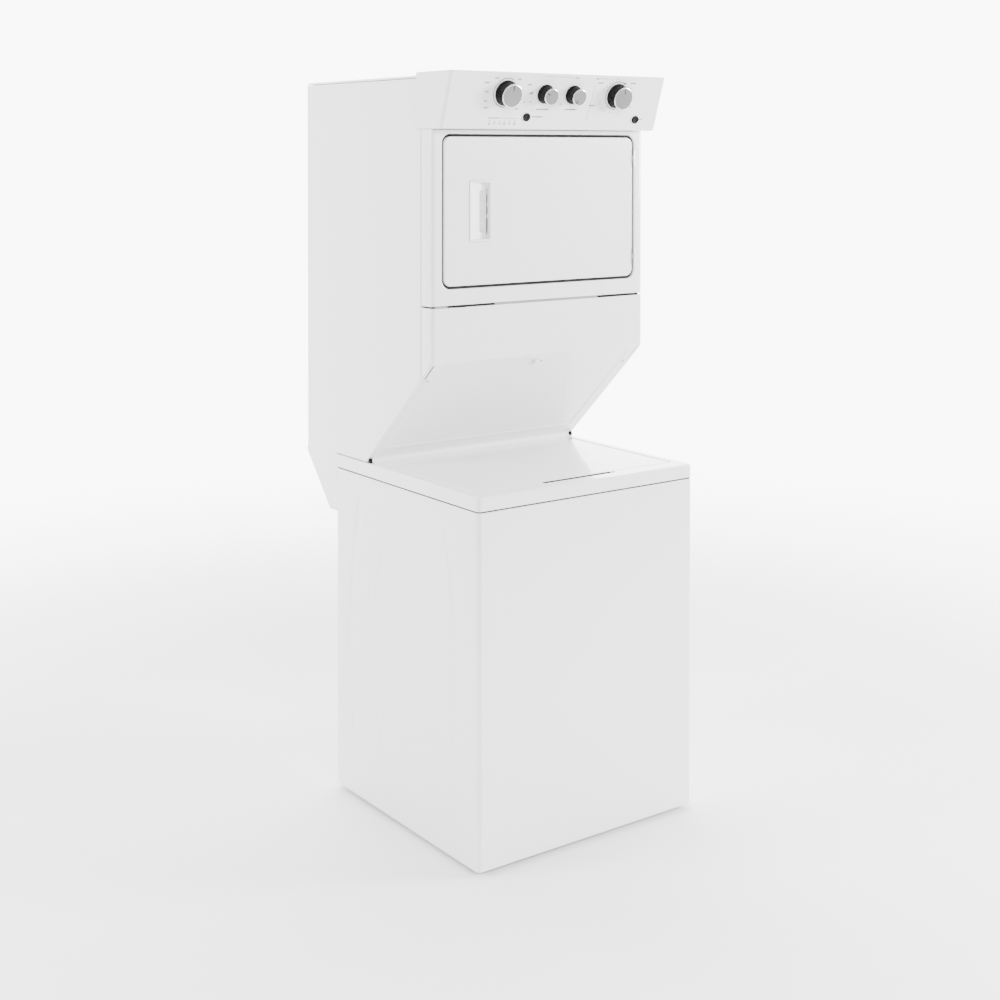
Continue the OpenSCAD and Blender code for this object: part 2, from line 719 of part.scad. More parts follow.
module sloped_panel() color("white") {
    half = dryer_w / 2 - 12.5;
    difference() {
        across(-half, 2 * half) sloped_outline();
        for (x = [-320, 320]) on_slope(x, screw_y) translate([0, 0, -10]) cylinder(r = 2, h = 20);
    }
    both_sides() color("black")
        block([half + 1, foot_y - 2, dryer_z - 1], [half + 8, foot_y + 8, foot_z - 1]);
}

// Dryer workings

module front_bulkhead() color("lightgray") {
    half = dryer_w / 2 - sheet;
    difference() {
        union() {
            upright(bulkhead_y - sheet, sheet) translate([-half, 1300]) square([2 * half, 600]);
            upright(recess_y + sheet, bulkhead_y - recess_y - sheet) throat(sheet);
            along_y(0, bulkhead_y, drum_z) ring(drum_r - 8, drum_r - 11, 14, $fn = 128);
        }
        upright(recess_y - 5, 60) throat(0);
        block([-172, screen_y - 6, 1300], [172, screen_y + 6, 1500]);
    }
    lint_duct();
}

// Box that holds the lint screen under the door's throat and leads down to the blower
module lint_duct() {
    z_top = door_mid_z - throat_h / 2 - sheet;
    difference() {
        union() {
            block([-174, screen_y - 8, 1245], [174, screen_y + 8, z_top]);
            across(-62, 124) throat_to_blower(0);
        }
        block([-172, screen_y - 6, 1247], [172, screen_y + 6, z_top + 1]);
        across(-60, 120) throat_to_blower(2);
    }
}

// Side outline of the duct from the lint screen to the blower, inset by g and open to the back
module throat_to_blower(g) {
    polygon([[screen_y - 8 + g, 1262 - g], [screen_y - 8 + g, 1178 + g], [screen_y + 23 + g / 2, 1150 + g],
        [-62 + g, 1150 + g], [-62 + g, 1262 - g]]);
}

module rear_bulkhead() color("lightgray") {
    half = dryer_w / 2 - sheet;
    difference() {
        upright(rear_bulkhead_y, sheet) translate([-half, 1200]) square([2 * half, 700]);
        for (r = [60 : 40 : 180], a = [0 : 45 : 359]) along_y(r * cos(a + r), rear_bulkhead_y - 5,
            drum_z + r * sin(a + r)) cylinder(r = 7, h = 10);
    }
    // shafts of the two support rollers
    for (a = roller_angles) along_y(roller_pos(a)[0], roller_y - 18, roller_pos(a)[1])
        cylinder(r = 6, h = rear_bulkhead_y - roller_y + 18);
}

function roller_pos(a) = [0, drum_z] + (drum_r + roller_r + 0.3) * [sin(a), -cos(a)];

module dryer_drum() color("whitesmoke") {
    along_y(0, drum_front, drum_z) {
        ring(drum_r, drum_r - sheet, drum_back - drum_front, $fn = 128);
        for (a = [30, 150, 270]) rotate([0, 0, a]) translate([0, 0, 50]) linear_extrude(400) intersection() {
            circle(drum_r - sheet / 2, $fn = 128);
            polygon([[drum_r, -34], [drum_r - 52, -9], [drum_r - 56, 0], [drum_r - 52, 9], [drum_r, 34]]);
        }
    }
}

module roller(a) color("dimgray") {
    along_y(roller_pos(a)[0], roller_y - 12, roller_pos(a)[1]) ring(roller_r, 6 + fit_gap, 24);
}

module roller_left() { roller(roller_angles[0]); }

module roller_right() { roller(roller_angles[1]); }

module drum_belt() color("dimgray") {
    translate([0, drum_belt_y + 4, 0]) rotate([90, 0, 0])
        belt([[0, motor_z, rotor_r], [idler_at[0], idler_at[1], idler_r], [0, drum_z, drum_r]], 8);
}

module idler_pulley() color("gray") {
    along_y(idler_at[0], drum_belt_y - 8, idler_at[1]) ring(idler_r, 5 + fit_gap, 16);
}

module dryer_motor() color("gray") {
    difference() {
        along_y(0, 42, motor_z) cylinder(r = 64, h = 140);
        along_y(0, 0, motor_z) cylinder(r = 7 + fit_gap, h = 200);
    }
    for (x = [-60, 48]) block([x, 92, dryer_z + sheet], [x + 12, 152, motor_z - 26]);
    // idler's bracket and pin
    difference() {
        block([20, 182, 1160], [idler_at[0] + 8, 186, idler_at[1] + 10]);
        along_y(0, 180, motor_z) cylinder(r = 24, h = 10);
    }
    along_y(idler_at[0], 186, idler_at[1]) cylinder(r = 5, h = 34);
}

module blower_wheel() color("dimgray") {
    along_y(0, -50, motor_z) {
        cylinder(r = 78, h = 4);
        for (a = [0 : 20 : 340]) rotate([0, 0, a]) translate([62, -1.5, 2]) cube([14, 3, 42]);
        cylinder(r = 14, h = 24);
    }
    along_y(0, -26, motor_z) cylinder(r = 7, h = 228);
    along_y(0, 202, motor_z) difference() {
        cylinder(r = rotor_r + 4, h = 14);
        translate([0, 0, 2]) ring(rotor_r + 6, rotor_r, 10);
    }
}

module blower_housing() color("gainsboro") {
    r = 92;
    front = -60;
    depth = 66;
    t = 2;
    outlet_r = 26;
    difference() {
        union() {
            along_y(0, front, motor_z) cylinder(r = r, h = depth);
            block([exhaust_x - exhaust_r - 6, front, motor_z - r], [0, front + depth, motor_z - 4]);
        }
        along_y(0, front + t, motor_z) cylinder(r = r - t, h = depth - 2 * t);
        block([exhaust_x - exhaust_r - 4, front + t, motor_z - r + t], [0, front + depth - t, motor_z - 6]);
        along_y(0, front - 1, motor_z) cylinder(r = 36, h = 10);
        along_y(0, 0, motor_z) cylinder(r = 7 + fit_gap, h = 20);
        along_y(exhaust_x, 0, exhaust_z) cylinder(r = outlet_r, h = 20);
    }
}

module exhaust_duct() color("silver") {
    along_y(exhaust_x, 6, exhaust_z) difference() {
        union() {
            cylinder(r = 34, h = 30);
            translate([0, 0, 29]) cylinder(r = exhaust_r, h = dryer_back - 2 - 35);
        }
        translate([0, 0, -1]) cylinder(r = 33, h = 32);
        translate([0, 0, 30]) cylinder(r = exhaust_r - 1, h = 500);
    }
}

module heater_housing() color("silver") {
    y = rear_bulkhead_y + sheet;
    difference() {
        block([90, y, 1240], [250, y + 34, 1760]);
        block([92, y - 1, 1238], [248, y + 32, 1758]);
    }
}

module lint_screen() color("gray") {
    z0 = 1262;
    z1 = door_mid_z - throat_h / 2 - 1;
    difference() {
        block([-168, screen_y - 4, z0], [168, screen_y + 4, z1]);
        block([-158, screen_y - 5, z0 + 10], [-4, screen_y + 3, z1 - 16]);
        block([4, screen_y - 5, z0 + 10], [158, screen_y + 3, z1 - 16]);
    }
}

// Dryer door

door_a = [-recess_x + door_gap, recess_z0 + door_gap];
door_b = [recess_x - door_gap, recess_z1 - door_gap];
liner_y = recess_y - 4;
handle_a = [handle_x - handle_w / 2, door_mid_z - handle_h / 2];
handle_b = [handle_x + handle_w / 2, door_mid_z + handle_h / 2];

module door_panel() color("white") {
    skin = 14;
    difference() {
        upright(front_y, skin) round_rect(door_a, door_b, 20);
        upright(front_y + sheet, skin)
            round_rect(door_a + [sheet, sheet], door_b - [sheet, sheet], 20 - sheet);
        upright(front_y - 1, 10) round_rect(handle_a + [4, 4], handle_b - [4, 4], 3);
    }
}

module door_liner() color("whitesmoke") {
    g = sheet + 0.2;
    difference() {
        upright(front_y + sheet + 0.3, recess_d - 4 - sheet - 0.3)
            round_rect(door_a + [g, g], door_b - [g, g], 18.8);
        upright(front_y - 1, recess_d - 4 - sheet + 1)
            round_rect(door_a + [g, g] * 2, door_b - [g, g] * 2, 17.4);
        upright(liner_y - 3, 5) throat(-16 - sheet);
    }
    // plug that stands a little way into the throat
    difference() {
        upright(liner_y - sheet, 12 + sheet) throat(-16);
        upright(liner_y - 2 * sheet, 12 + sheet) throat(-16 - sheet);
    }
    // strike for the catch
    block([-287, liner_y, 1562], [-283, liner_y + 16, 1578]);
}

module door_seal() color("gray") {
    upright(liner_y, 3.6) difference() {
        throat(24);
        throat(12);
    }
}

module door_handle() color("whitesmoke") {
    pocket_a = handle_a + [8, 10];
    pocket_b = handle_b - [8, 10];
    difference() {
        union() {
            upright(front_y + 0.02 - 0.8, 0.8 - 0.02) round_rect(handle_a, handle_b, 5);
            upright(front_y - 0.5, 20) round_rect(handle_a + [4.1, 4.1], handle_b - [4.1, 4.1], 3);
        }
        upright(front_y - 2, 20) round_rect(pocket_a, pocket_b, 6);
    }
}

module door_hinges() color("silver") {
    x = recess_x - door_gap;
    for (z = hinge_zs) {
        block([x, front_y + 3, z - hinge_h / 2], [x + 1.2, recess_y - 8, z + hinge_h / 2]);
        difference() {
            union() {
                translate([hinge_x, hinge_y, z - hinge_h / 6]) cylinder(r = hinge_r, h = hinge_h / 3 - 0.3);
                block([x, hinge_y, z - hinge_h / 6], [hinge_x, front_y + 3.2, z + hinge_h / 6 - 0.3]);
            }
            translate([hinge_x, hinge_y, z - hinge_h]) cylinder(r = pin_r + fit_gap, h = 2 * hinge_h);
        }
    }
}

module door_catch() color("silver") {
    difference() {
        block([-300, recess_y + sheet, 1546], [-270, recess_y + 18, 1594]);
        block([-297, recess_y - 1, 1549], [-273, recess_y + 16, 1591]);
    }
}

// Console

module console_profile(g) {
    polygon([[console_top_y + g * 1.4, overall_h - g], [console_back - g, overall_h - g],
        [console_back - g, console_z + g], [console_bot_y + g * 1.1, console_z + g]]);
}

module console_housing() color("white") {
    half = overall_w / 2;
    wall = 2.5;
    difference() {
        across(-half, overall_w) console_profile(0);
        across(-half + wall, overall_w - 2 * wall) console_profile(wall);
        // open front behind the fascia
        across(-half + 4, overall_w - 8) polygon([[console_top_y - 5, overall_h - 4],
            [console_back - 40, overall_h - 4], [console_back - 40, console_z + 4],
            [console_bot_y - 5, console_z + 4]]);
    }
}

module console_fascia() color("white") {
    half = overall_w / 2 - 4.2;
    t = 3;
    step = t / cos(face_angle);
    difference() {
        across(-half, 2 * half) polygon([[face_y(overall_h - 4.4) + 0.4, overall_h - 4.4],
            [face_y(overall_h - 4.4) + 0.4 + step, overall_h - 4.4],
            [face_y(console_z + 4.4) + 0.4 + step, console_z + 4.4],
            [face_y(console_z + 4.4) + 0.4, console_z + 4.4]]);
        for (x = concat(big_knob_x, small_knob_x)) on_face(x, knob_z) translate([0, 0, -10])
            cylinder(r = 6, h = 20);
        for (b = start_buttons) on_face(b[0], b[1]) translate([0, 0, -10])
            cylinder(r = button_r + 0.4, h = 20);
        for (i = [0 : 5]) on_face(-204 + i * 15.6, 1796) translate([0, 0, -10]) cylinder(r = 1.6, h = 20);
    }
}

module control_board() color("darkgreen") {
    difference() {
        on_face(-160, 1812) translate([-74, -28, -24]) cube([180, 56, 1.6]);
        on_face(big_knob_x[0], knob_z) translate([0, 0, -60]) cylinder(r = 30, h = 60);
    }
    color("white") for (i = [0 : 5]) on_face(-204 + i * 15.6, 1796) translate([0, 0, -22.4])
        cylinder(r = 1.5, h = 22);
    // push switches behind the buttons
    color("black") for (b = start_buttons) on_face(b[0], b[1]) translate([-7, -7, -22.4]) cube([14, 14, 8]);
}

module rotary_switches() color("gray") {
    for (x = small_knob_x) rotary(x, 20, 22);
    rotary(big_knob_x[0], 26, 26);
    rotary(big_knob_x[1], 36, 44);
}

module rotary(x, r, depth) {
    on_face(x, knob_z) difference() {
        union() {
            translate([0, 0, -4 - depth]) cylinder(r = r, h = depth);
            translate([0, 0, -4]) cylinder(r = 5.6, h = 8);
        }
        translate([0, 0, -30]) cylinder(r = 3 + fit_gap, h = 40);
    }
}

// Knob with a flared skirt, a ribbed grip and a stem that turns in its switch
module knob(x, r) {
    cap_r = r - 2;
    on_face(x, knob_z) {
        color("black") difference() {
            rotate_extrude($fn = 96) polygon([[0, 5], [r, 5], [r, 8], [r - 3, 10], [cap_r - 3, knob_h - 8],
                [0, knob_h - 8]]);
            translate([0, 0, 4]) ring(cap_r - 4, 7, 12);
        }
        color("silver") translate([0, 0, knob_h - 8]) cylinder(r = cap_r - 1, h = 8, $fn = 96);
        color("silver") translate([-1, r * 0.45, knob_h]) cube([2, r * 0.4, 0.6]);
        color("black") translate([0, 0, -20]) cylinder(r = 3, h = 26);
    }
}

module cycle_knob() { knob(big_knob_x[0], big_knob_r); }

module temperature_knob() { knob(small_knob_x[0], small_knob_r); }

module softener_knob() { knob(small_knob_x[1], small_knob_r); }

module timer_knob() { knob(big_knob_x[1], big_knob_r); }

module start_button(b) color("black") {
    on_face(b[0], b[1]) {
        translate([0, 0, -6]) cylinder(r = button_r, h = 10);
        translate([0, 0, -11.5]) cylinder(r = 3, h = 6);
    }
}

module washer_start_button() { start_button(start_buttons[0]); }

module dryer_start_button() { start_button(start_buttons[1]); }

// Screws through the sloped panel's upper corners
module panel_screws() color("silver") {
    for (x = [-320, 320]) on_slope(x, screw_y) {
        cylinder(r = 5, h = 2.4);
        translate([0, 0, -3]) cylinder(r = 2, h = 4);
    }
}

washer_cabinet();
washer_base_frame();
washer_rear_panel();
levelling_feet();
washer_top();
washer_lid();
outer_tub();
wash_basket();
balance_ring();
agitator();
drive_pulley();
gearcase();
washer_motor();
motor_pulley();
washer_belt();
suspension_rods();
drain_pump();
drain_hose();
inlet_valve();
lid_lock();
lid_bumper();
dryer_side_left();
dryer_side_right();
dryer_top_panel();
dryer_rear_panel();
dryer_front_panel();
lower_access_panel();
sloped_panel();
rear_stand();
dryer_base_pan();
front_bulkhead();
rear_bulkhead();
dryer_drum();
roller_left();
roller_right();
drum_belt();
idler_pulley();
dryer_motor();
blower_wheel();
blower_housing();
exhaust_duct();
heater_housing();
lint_screen();
door_panel();
door_liner();
door_seal();
door_handle();
door_hinges();
door_catch();
console_housing();
console_fascia();
control_board();
rotary_switches();
cycle_knob();
temperature_knob();
softener_knob();
timer_knob();
washer_start_button();
dryer_start_button();
panel_screws();
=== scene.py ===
import math
import bmesh
import bpy
from mathutils import Matrix, Vector


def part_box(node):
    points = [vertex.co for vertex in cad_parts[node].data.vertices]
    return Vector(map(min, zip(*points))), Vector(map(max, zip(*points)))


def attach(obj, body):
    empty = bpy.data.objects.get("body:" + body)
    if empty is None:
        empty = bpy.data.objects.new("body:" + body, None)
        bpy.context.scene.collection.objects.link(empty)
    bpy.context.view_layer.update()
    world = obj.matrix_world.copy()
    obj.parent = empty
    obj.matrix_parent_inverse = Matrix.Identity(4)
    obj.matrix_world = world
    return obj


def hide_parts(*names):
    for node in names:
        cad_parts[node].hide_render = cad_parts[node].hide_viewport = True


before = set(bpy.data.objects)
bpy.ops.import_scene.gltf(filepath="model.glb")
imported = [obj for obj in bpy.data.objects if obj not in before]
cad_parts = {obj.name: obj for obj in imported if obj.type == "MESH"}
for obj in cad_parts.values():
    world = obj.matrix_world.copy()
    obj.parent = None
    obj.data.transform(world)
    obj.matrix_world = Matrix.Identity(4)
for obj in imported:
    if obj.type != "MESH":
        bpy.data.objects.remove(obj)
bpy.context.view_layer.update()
scene = bpy.context.scene

# Camera

cameraSetup = {"place": (-2.4434, -3.3841, 1.7226), "pitch": -0.017, "heading": -0.626,
               "lens": 55.808, "shiftX": 0.0051, "shiftY": -0.323}


def makeCamera(s):
    camera = bpy.data.objects.new("camera", bpy.data.cameras.new("camera"))
    scene.collection.objects.link(camera)
    camera.location = s["place"]
    camera.rotation_euler = (math.pi / 2 + s["pitch"], 0, s["heading"])
    camera.data.sensor_width = 36
    camera.data.lens = s["lens"]
    camera.data.shift_x, camera.data.shift_y = s["shiftX"], s["shiftY"]
    camera.data.clip_end = 100
    scene.camera = camera


makeCamera(cameraSetup)
print("camera ready")

# Finishes: shader maths is written as expressions on signals


class Signal:
    def __init__(self, finish, socket):
        self.finish, self.socket = finish, socket

    def maths(self, operation, *values):
        return self.finish.node("ShaderNodeMath", {"operation": operation},
                                dict(enumerate(values)))

    def __add__(self, other):
        return self.maths("ADD", self, other)

    def __radd__(self, other):
        return self.maths("ADD", other, self)

    def __sub__(self, other):
        return self.maths("SUBTRACT", self, other)

    def __rsub__(self, other):
        return self.maths("SUBTRACT", other, self)

    def __mul__(self, other):
        return self.maths("MULTIPLY", self, other)

    def __rmul__(self, other):
        return self.maths("MULTIPLY", other, self)

    def __truediv__(self, other):
        return self.maths("DIVIDE", self, other)

    def __rtruediv__(self, other):
        return self.maths("DIVIDE", other, self)

    def __pow__(self, other):
        return self.maths("POWER", self, other)

    def between(self, low, high):
        return self.finish.node("ShaderNodeMapRange", {"interpolation_type": "SMOOTHSTEP"},
                                {"Value": self, "From Min": low, "From Max": high})


class Maker:
    def feed(self, socket, value):
        if isinstance(value, Signal):
            self.tree.links.new(value.socket, socket)
        elif isinstance(value, tuple) and len(value) == 3 and socket.type == "RGBA":
            socket.default_value = (*value, 1)
        else:
            socket.default_value = value

    def node(self, kind, settings=None, inputs=None, out=0):
        made = self.tree.nodes.new(kind)
        for key, value in (settings or {}).items():
            setattr(made, key, value)
        for key, value in (inputs or {}).items():
            self.feed(made.inputs[key], value)
        return Signal(self, made.outputs[out])


class Finish(Maker):
    def __init__(self, name, constants):
        self.material = bpy.data.materials.new(name)
        self.material.use_nodes = True
        self.tree = self.material.node_tree
        self.shader = self.tree.nodes["Principled BSDF"]
        for socket, value in constants.items():
            self.shader.inputs[socket].default_value = value

    def place(self, stretch=(1, 1, 1), where="Object"):
        at = self.node("ShaderNodeTexCoord", out=where)
        return self.node("ShaderNodeMapping", None, {"Vector": at, "Scale": stretch})

    def noise(self, place, scale, detail=2, rough=0.5):
        return self.node("ShaderNodeTexNoise", None, {"Vector": place, "Scale": scale,
                                                      "Detail": detail, "Roughness": rough})

    def tint(self, amount, low, high):
        return self.node("ShaderNodeMix", {"data_type": "RGBA"},
                         {0: amount, 6: (*low, 1), 7: (*high, 1)}, out=2)

    def bump(self, height, strength, distance):
        return self.node("ShaderNodeBump", None,
                         {"Height": height, "Strength": strength, "Distance": distance})

    def wear(self, color=None, rough=None, normal=None, metal=None):
        for key, value in (("Base Color", color), ("Roughness", rough), ("Normal", normal),
                           ("Metallic", metal)):
            if value is not None:
                self.feed(self.shader.inputs[key], value)
        return self.material


def enamelFinish(name, low, high, gloss, coat, peel):
    f = Finish(name, {"IOR": 1.5, "Coat Weight": coat, "Coat Roughness": 0.05})
    at = f.place()
    broad = f.noise(at, 2.2)
    wipe = f.noise(f.place((1, 1, 0.25)), 26, 3)
    orangePeel = f.noise(at, 300, 1)
    speck = f.noise(at, 1400, 0)
    return f.wear(f.tint(broad * 0.6 + wipe * 0.4, low, high),
                  gloss + 0.07 * wipe + 0.04 * speck.between(0.55, 0.75),
                  f.bump(orangePeel + 0.15 * speck, peel, 0.0006))


def plasticFinish(name, low, high, gloss, grain, depth, shine=0.5):
    f = Finish(name, {"IOR": 1.46, "Specular IOR Level": shine})
    at = f.place()
    flow = f.noise(f.place((1, 1, 3)), 6, 3)
    pebble = f.node("ShaderNodeTexVoronoi", {"feature": "SMOOTH_F1"},
                    {"Vector": at, "Scale": grain, "Smoothness": 0.6})
    fine = f.noise(at, grain * 1.7, 2)
    return f.wear(f.tint(flow, low, high), gloss + 0.1 * flow + 0.06 * fine,
                  f.bump(pebble + 0.4 * fine, depth, 0.0004))


def brushedFinish(name, low, high, gloss, stretch, where="Object"):
    f = Finish(name, {"Metallic": 1.0})
    fine = f.noise(f.place(stretch, where), 1, 5, 0.62)
    broad = f.noise(f.place((1, 1, 1)), 9, 2)
    return f.wear(f.tint(fine * 0.7 + broad * 0.3, low, high), gloss + 0.16 * fine + 0.05 * broad,
                  f.bump(fine, 0.25, 0.0001))


def zincFinish(name, low, high):
    f = Finish(name, {"Metallic": 0.9})
    at = f.place()
    spangle = f.node("ShaderNodeTexVoronoi", {"feature": "F1"}, {"Vector": at, "Scale": 95}, "Color")
    grey = f.node("ShaderNodeSeparateColor", None, {"Color": spangle}, "Red")
    streak = f.noise(f.place((1, 1, 0.1)), 60, 4)
    return f.wear(f.tint(grey * 0.6 + streak * 0.4, low, high), 0.36 + 0.18 * grey + 0.08 * streak,
                  f.bump(grey + streak, 0.05, 0.0003))


def castFinish(name, low, high, rough, scale):
    f = Finish(name, {"Metallic": 0.85})
    at = f.place()
    sand = f.noise(at, scale, 4, 0.7)
    stain = f.noise(at, 14, 3)
    return f.wear(f.tint(stain * 0.6 + sand * 0.4, low, high), rough + 0.2 * sand,
                  f.bump(sand, 0.35, 0.0005))


def rubberFinish(name, low, high):
    f = Finish(name, {"IOR": 1.5, "Specular IOR Level": 0.2})
    at = f.place()
    bloom = f.noise(at, 22, 4)
    skin = f.noise(at, 900, 2)
    return f.wear(f.tint(bloom, low, high), 0.62 + 0.2 * bloom, f.bump(skin, 0.3, 0.0003))


def meshFinish(name, low, high):
    f = Finish(name, {})
    at = f.place()
    across = f.node("ShaderNodeTexWave", {"bands_direction": "X"}, {"Vector": at, "Scale": 190})
    upward = f.node("ShaderNodeTexWave", {"bands_direction": "Z"}, {"Vector": at, "Scale": 190})
    weave = across.maths("MAXIMUM", across, upward)
    return f.wear(f.tint(weave, low, high), 0.55 + 0.2 * f.noise(at, 30), f.bump(weave, 0.6, 0.0006))


def boardFinish(name, low, high):
    f = Finish(name, {"IOR": 1.5})
    at = f.place()
    tracks = f.node("ShaderNodeTexBrick", None, {"Vector": at, "Scale": 160, "Mortar Size": 0.03},
                    "Fac")
    glass = f.noise(at, 260, 3)
    return f.wear(f.tint(tracks * 0.7 + glass * 0.3, low, high), 0.34 + 0.16 * glass,
                  f.bump(tracks, 0.3, 0.0003))


white = (0.80, 0.80, 0.80)
finishes = {
    "enamel": enamelFinish("enamel", (0.775, 0.775, 0.78), white, 0.26, 0.75, 0.03),
    "console_plastic": plasticFinish("console_plastic", (0.77, 0.77, 0.775), (0.8, 0.8, 0.8), 0.3, 900, 0.06),
    "liner_enamel": enamelFinish("liner_enamel", (0.7, 0.7, 0.7), (0.76, 0.76, 0.755), 0.3, 0.2, 0.09),
    "galvanised": zincFinish("galvanised", (0.5, 0.51, 0.52), (0.72, 0.73, 0.74)),
    "tub_plastic": plasticFinish("tub_plastic", (0.62, 0.62, 0.6), (0.7, 0.7, 0.68), 0.38, 500, 0.1),
    "basket_steel": brushedFinish("basket_steel", (0.5, 0.5, 0.51), (0.72, 0.72, 0.73), 0.22, (14, 14, 900)),
    "black_plastic": plasticFinish("black_plastic", (0.003, 0.003, 0.003), (0.005, 0.005, 0.005), 0.4, 1100, 0.1, 0.12),
    "knob_metal": brushedFinish("knob_metal", (0.2, 0.2, 0.205), (0.36, 0.36, 0.365), 0.26, (3, 420, 1), "UV"),
    "motor_steel": castFinish("motor_steel", (0.2, 0.21, 0.22), (0.32, 0.33, 0.34), 0.4, 420),
    "gear_alloy": castFinish("gear_alloy", (0.42, 0.43, 0.44), (0.58, 0.59, 0.6), 0.42, 260),
    "bright_steel": brushedFinish("bright_steel", (0.55, 0.55, 0.56), (0.78, 0.78, 0.79), 0.2, (300, 300, 30)),
    "rubber": rubberFinish("rubber", (0.006, 0.006, 0.006), (0.012, 0.012, 0.012)),
    "lint_mesh": meshFinish("lint_mesh", (0.12, 0.13, 0.14), (0.5, 0.51, 0.52)),
    "board": boardFinish("board", (0.01, 0.09, 0.03), (0.02, 0.16, 0.06)),
    "switch_body": plasticFinish("switch_body", (0.3, 0.3, 0.3), (0.4, 0.4, 0.39), 0.4, 700, 0.1),
}
finishes["seal_grey"] = rubberFinish("seal_grey", (0.22, 0.22, 0.22), (0.32, 0.32, 0.32))
finishes["print_grey"] = plasticFinish("print_grey", (0.003, 0.003, 0.003), (0.006, 0.006, 0.006), 0.5, 1500, 0.03, 0.1)
finishes["print_light"] = plasticFinish("print_light", (0.02, 0.02, 0.02), (0.03, 0.03, 0.03), 0.5, 1500, 0.03, 0.1)
finishes["chrome"] = brushedFinish("chrome", (0.82, 0.82, 0.83), (0.93, 0.93, 0.94), 0.06, (40, 40, 40))

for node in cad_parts.values():
    for holder in node.material_slots:
        found = [name for name in finishes if holder.material and holder.material.name.startswith(name)]
        holder.material = finishes[max(found, key=len)] if found else finishes["galvanised"]
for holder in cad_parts["lid_bumper"].material_slots:
    holder.material = finishes["console_plastic"]
print("finishes ready:", len(finishes))

# Shapes: loops of points are lofted into sheets and solids. All shape numbers are millimetres.


def roundLoop(low, high, radius, arc=6, side=6, stops=None):
    radii = radius if isinstance(radius, tuple) else (radius,) * 4
    (x0, y0), (x1, y1) = low, high
    a, b, c, d = radii
    corners = [(x0 + a, y0 + a, 180, a), (x1 - b, y0 + b, 270, b), (x1 - c, y1 - c, 0, c),
               (x0 + d, y1 - d, 90, d)]
    points = []
    for i, (cx, cy, start, r) in enumerate(corners):
        for k in range(arc + 1):
            t = math.radians(start + 90 * k / arc)
            points.append((cx + r * math.cos(t), cy + r * math.sin(t)))
        nx, ny, following, nr = corners[(i + 1) % 4]
        t = math.radians(following)
        end, begin = (nx + nr * math.cos(t), ny + nr * math.sin(t)), points[-1]
        if i == 0 and stops:
            points += [(x, y0) for x in stops]
        else:
            points += [(begin[0] + (end[0] - begin[0]) * k / side,
                        begin[1] + (end[1] - begin[1]) * k / side) for k in range(1, side)]
    return points


def turn(radius, steps=4):
    # (inset, depth) pairs that turn from a wall to a face, with one more on the face
    pairs = [(radius * (1 - math.cos(math.pi / 2 * k / steps)),
              radius * (1 - math.sin(math.pi / 2 * k / steps))) for k in range(steps + 1)]
    return pairs + [(radius + 0.8, 0)]


def loft(rings, capFirst=False, capLast=False, ringsMeet=False, shape=None):
    shape = shape or bmesh.new()
    rows = [[shape.verts.new(p) for p in ring] for ring in rings]
    count = len(rows[0])
    pairs = list(zip(rows, rows[1:])) + ([(rows[-1], rows[0])] if ringsMeet else [])
    for lower, upper in pairs:
        for i in range(count):
            j = (i + 1) % count
            shape.faces.new((lower[i], lower[j], upper[j], upper[i]))
    if capFirst:
        shape.faces.new(rows[0][::-1])
    if capLast:
        shape.faces.new(rows[-1])
    return shape


def netting(columns, shape=None):
    # a sheet from columns of points; it faces out where a column's neighbour lies to the right of it
    shape = shape or bmesh.new()
    grid = [[shape.verts.new(p) for p in column] for column in columns]
    for left, right in zip(grid, grid[1:]):
        for k in range(len(left) - 1):
            shape.faces.new((left[k], right[k], right[k + 1], left[k + 1]))
    return shape


def lathe(profile, count=64, ribs=None):
    # (radius, height) pairs turned round z; ribs(radius, height, turn) changes a radius
    rings = []
    for r, h in profile:
        ring = []
        for i in range(count):
            t = 2 * math.pi * i / count
            reach = ribs(r, h, t) if ribs else r
            ring.append((reach * math.cos(t), reach * math.sin(t), h))
        rings.append(ring)
    return loft(rings, capFirst=True, capLast=True)


def front(loop, y):
    return [(x, y, z) for x, z in loop]


def level(loop, z):
    return [(x, y, z) for x, y in loop]


def settle(name, shape, body, finish, replaced=(), wall=0, crease=32, place=None):
    # turns a shape into a finished piece: gives it its wall, shades it and parents it to its body
    bmesh.ops.remove_doubles(shape, verts=shape.verts, dist=1e-4)
    if place:
        shape.transform(place)
    for vert in shape.verts:
        vert.co *= 0.001
    mesh = bpy.data.meshes.new(name)
    shape.to_mesh(mesh)
    shape.free()
    piece = bpy.data.objects.new(name, mesh)
    scene.collection.objects.link(piece)
    if wall:
        solid = piece.modifiers.new("wall", "SOLIDIFY")
        solid.thickness, solid.offset, solid.use_even_offset = wall * 0.001, -1, True
        bake(piece)
    return dress(piece, body, finish, replaced, crease)


def bake(piece):
    graph = bpy.context.evaluated_depsgraph_get()
    baked = bpy.data.meshes.new_from_object(piece.evaluated_get(graph))
    piece.modifiers.clear()
    piece.data = baked


def dress(piece, body, finish, replaced=(), crease=32):
    piece.data.shade_smooth()
    piece.data.set_sharp_from_angle(angle=math.radians(crease))
    flats = piece.modifiers.new("flats", "WEIGHTED_NORMAL")   # flat faces stay flat beside rounded edges
    flats.keep_sharp = True
    bake(piece)
    if finish:
        piece.data.materials.clear()
        piece.data.materials.append(finishes[finish])
    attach(piece, body)
    if replaced:
        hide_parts(*replaced)
    return piece


sheet = 1.2

# Washer cabinet: a wrapped sheet with arcs pressed into its sides

cabinet = {"width": 686, "front": -411.95, "back": 248.05, "low": 12, "top": 866, "corner": 12,
           "lip": 18, "backReturn": 25, "press": 1.0, "arcMiddle": (-76, 427),
           "outerArc": {"offset": 250, "bow": 1394, "wide": 24, "ends": (52, 802)},
           "innerArc": {"offset": 138, "bow": 925, "ends": (118, 722)}, "soft": 4}


def smooth(low, high, value):
    t = min(1, max(0, (value - low) / (high - low)))
    return t * t * (3 - 2 * t)


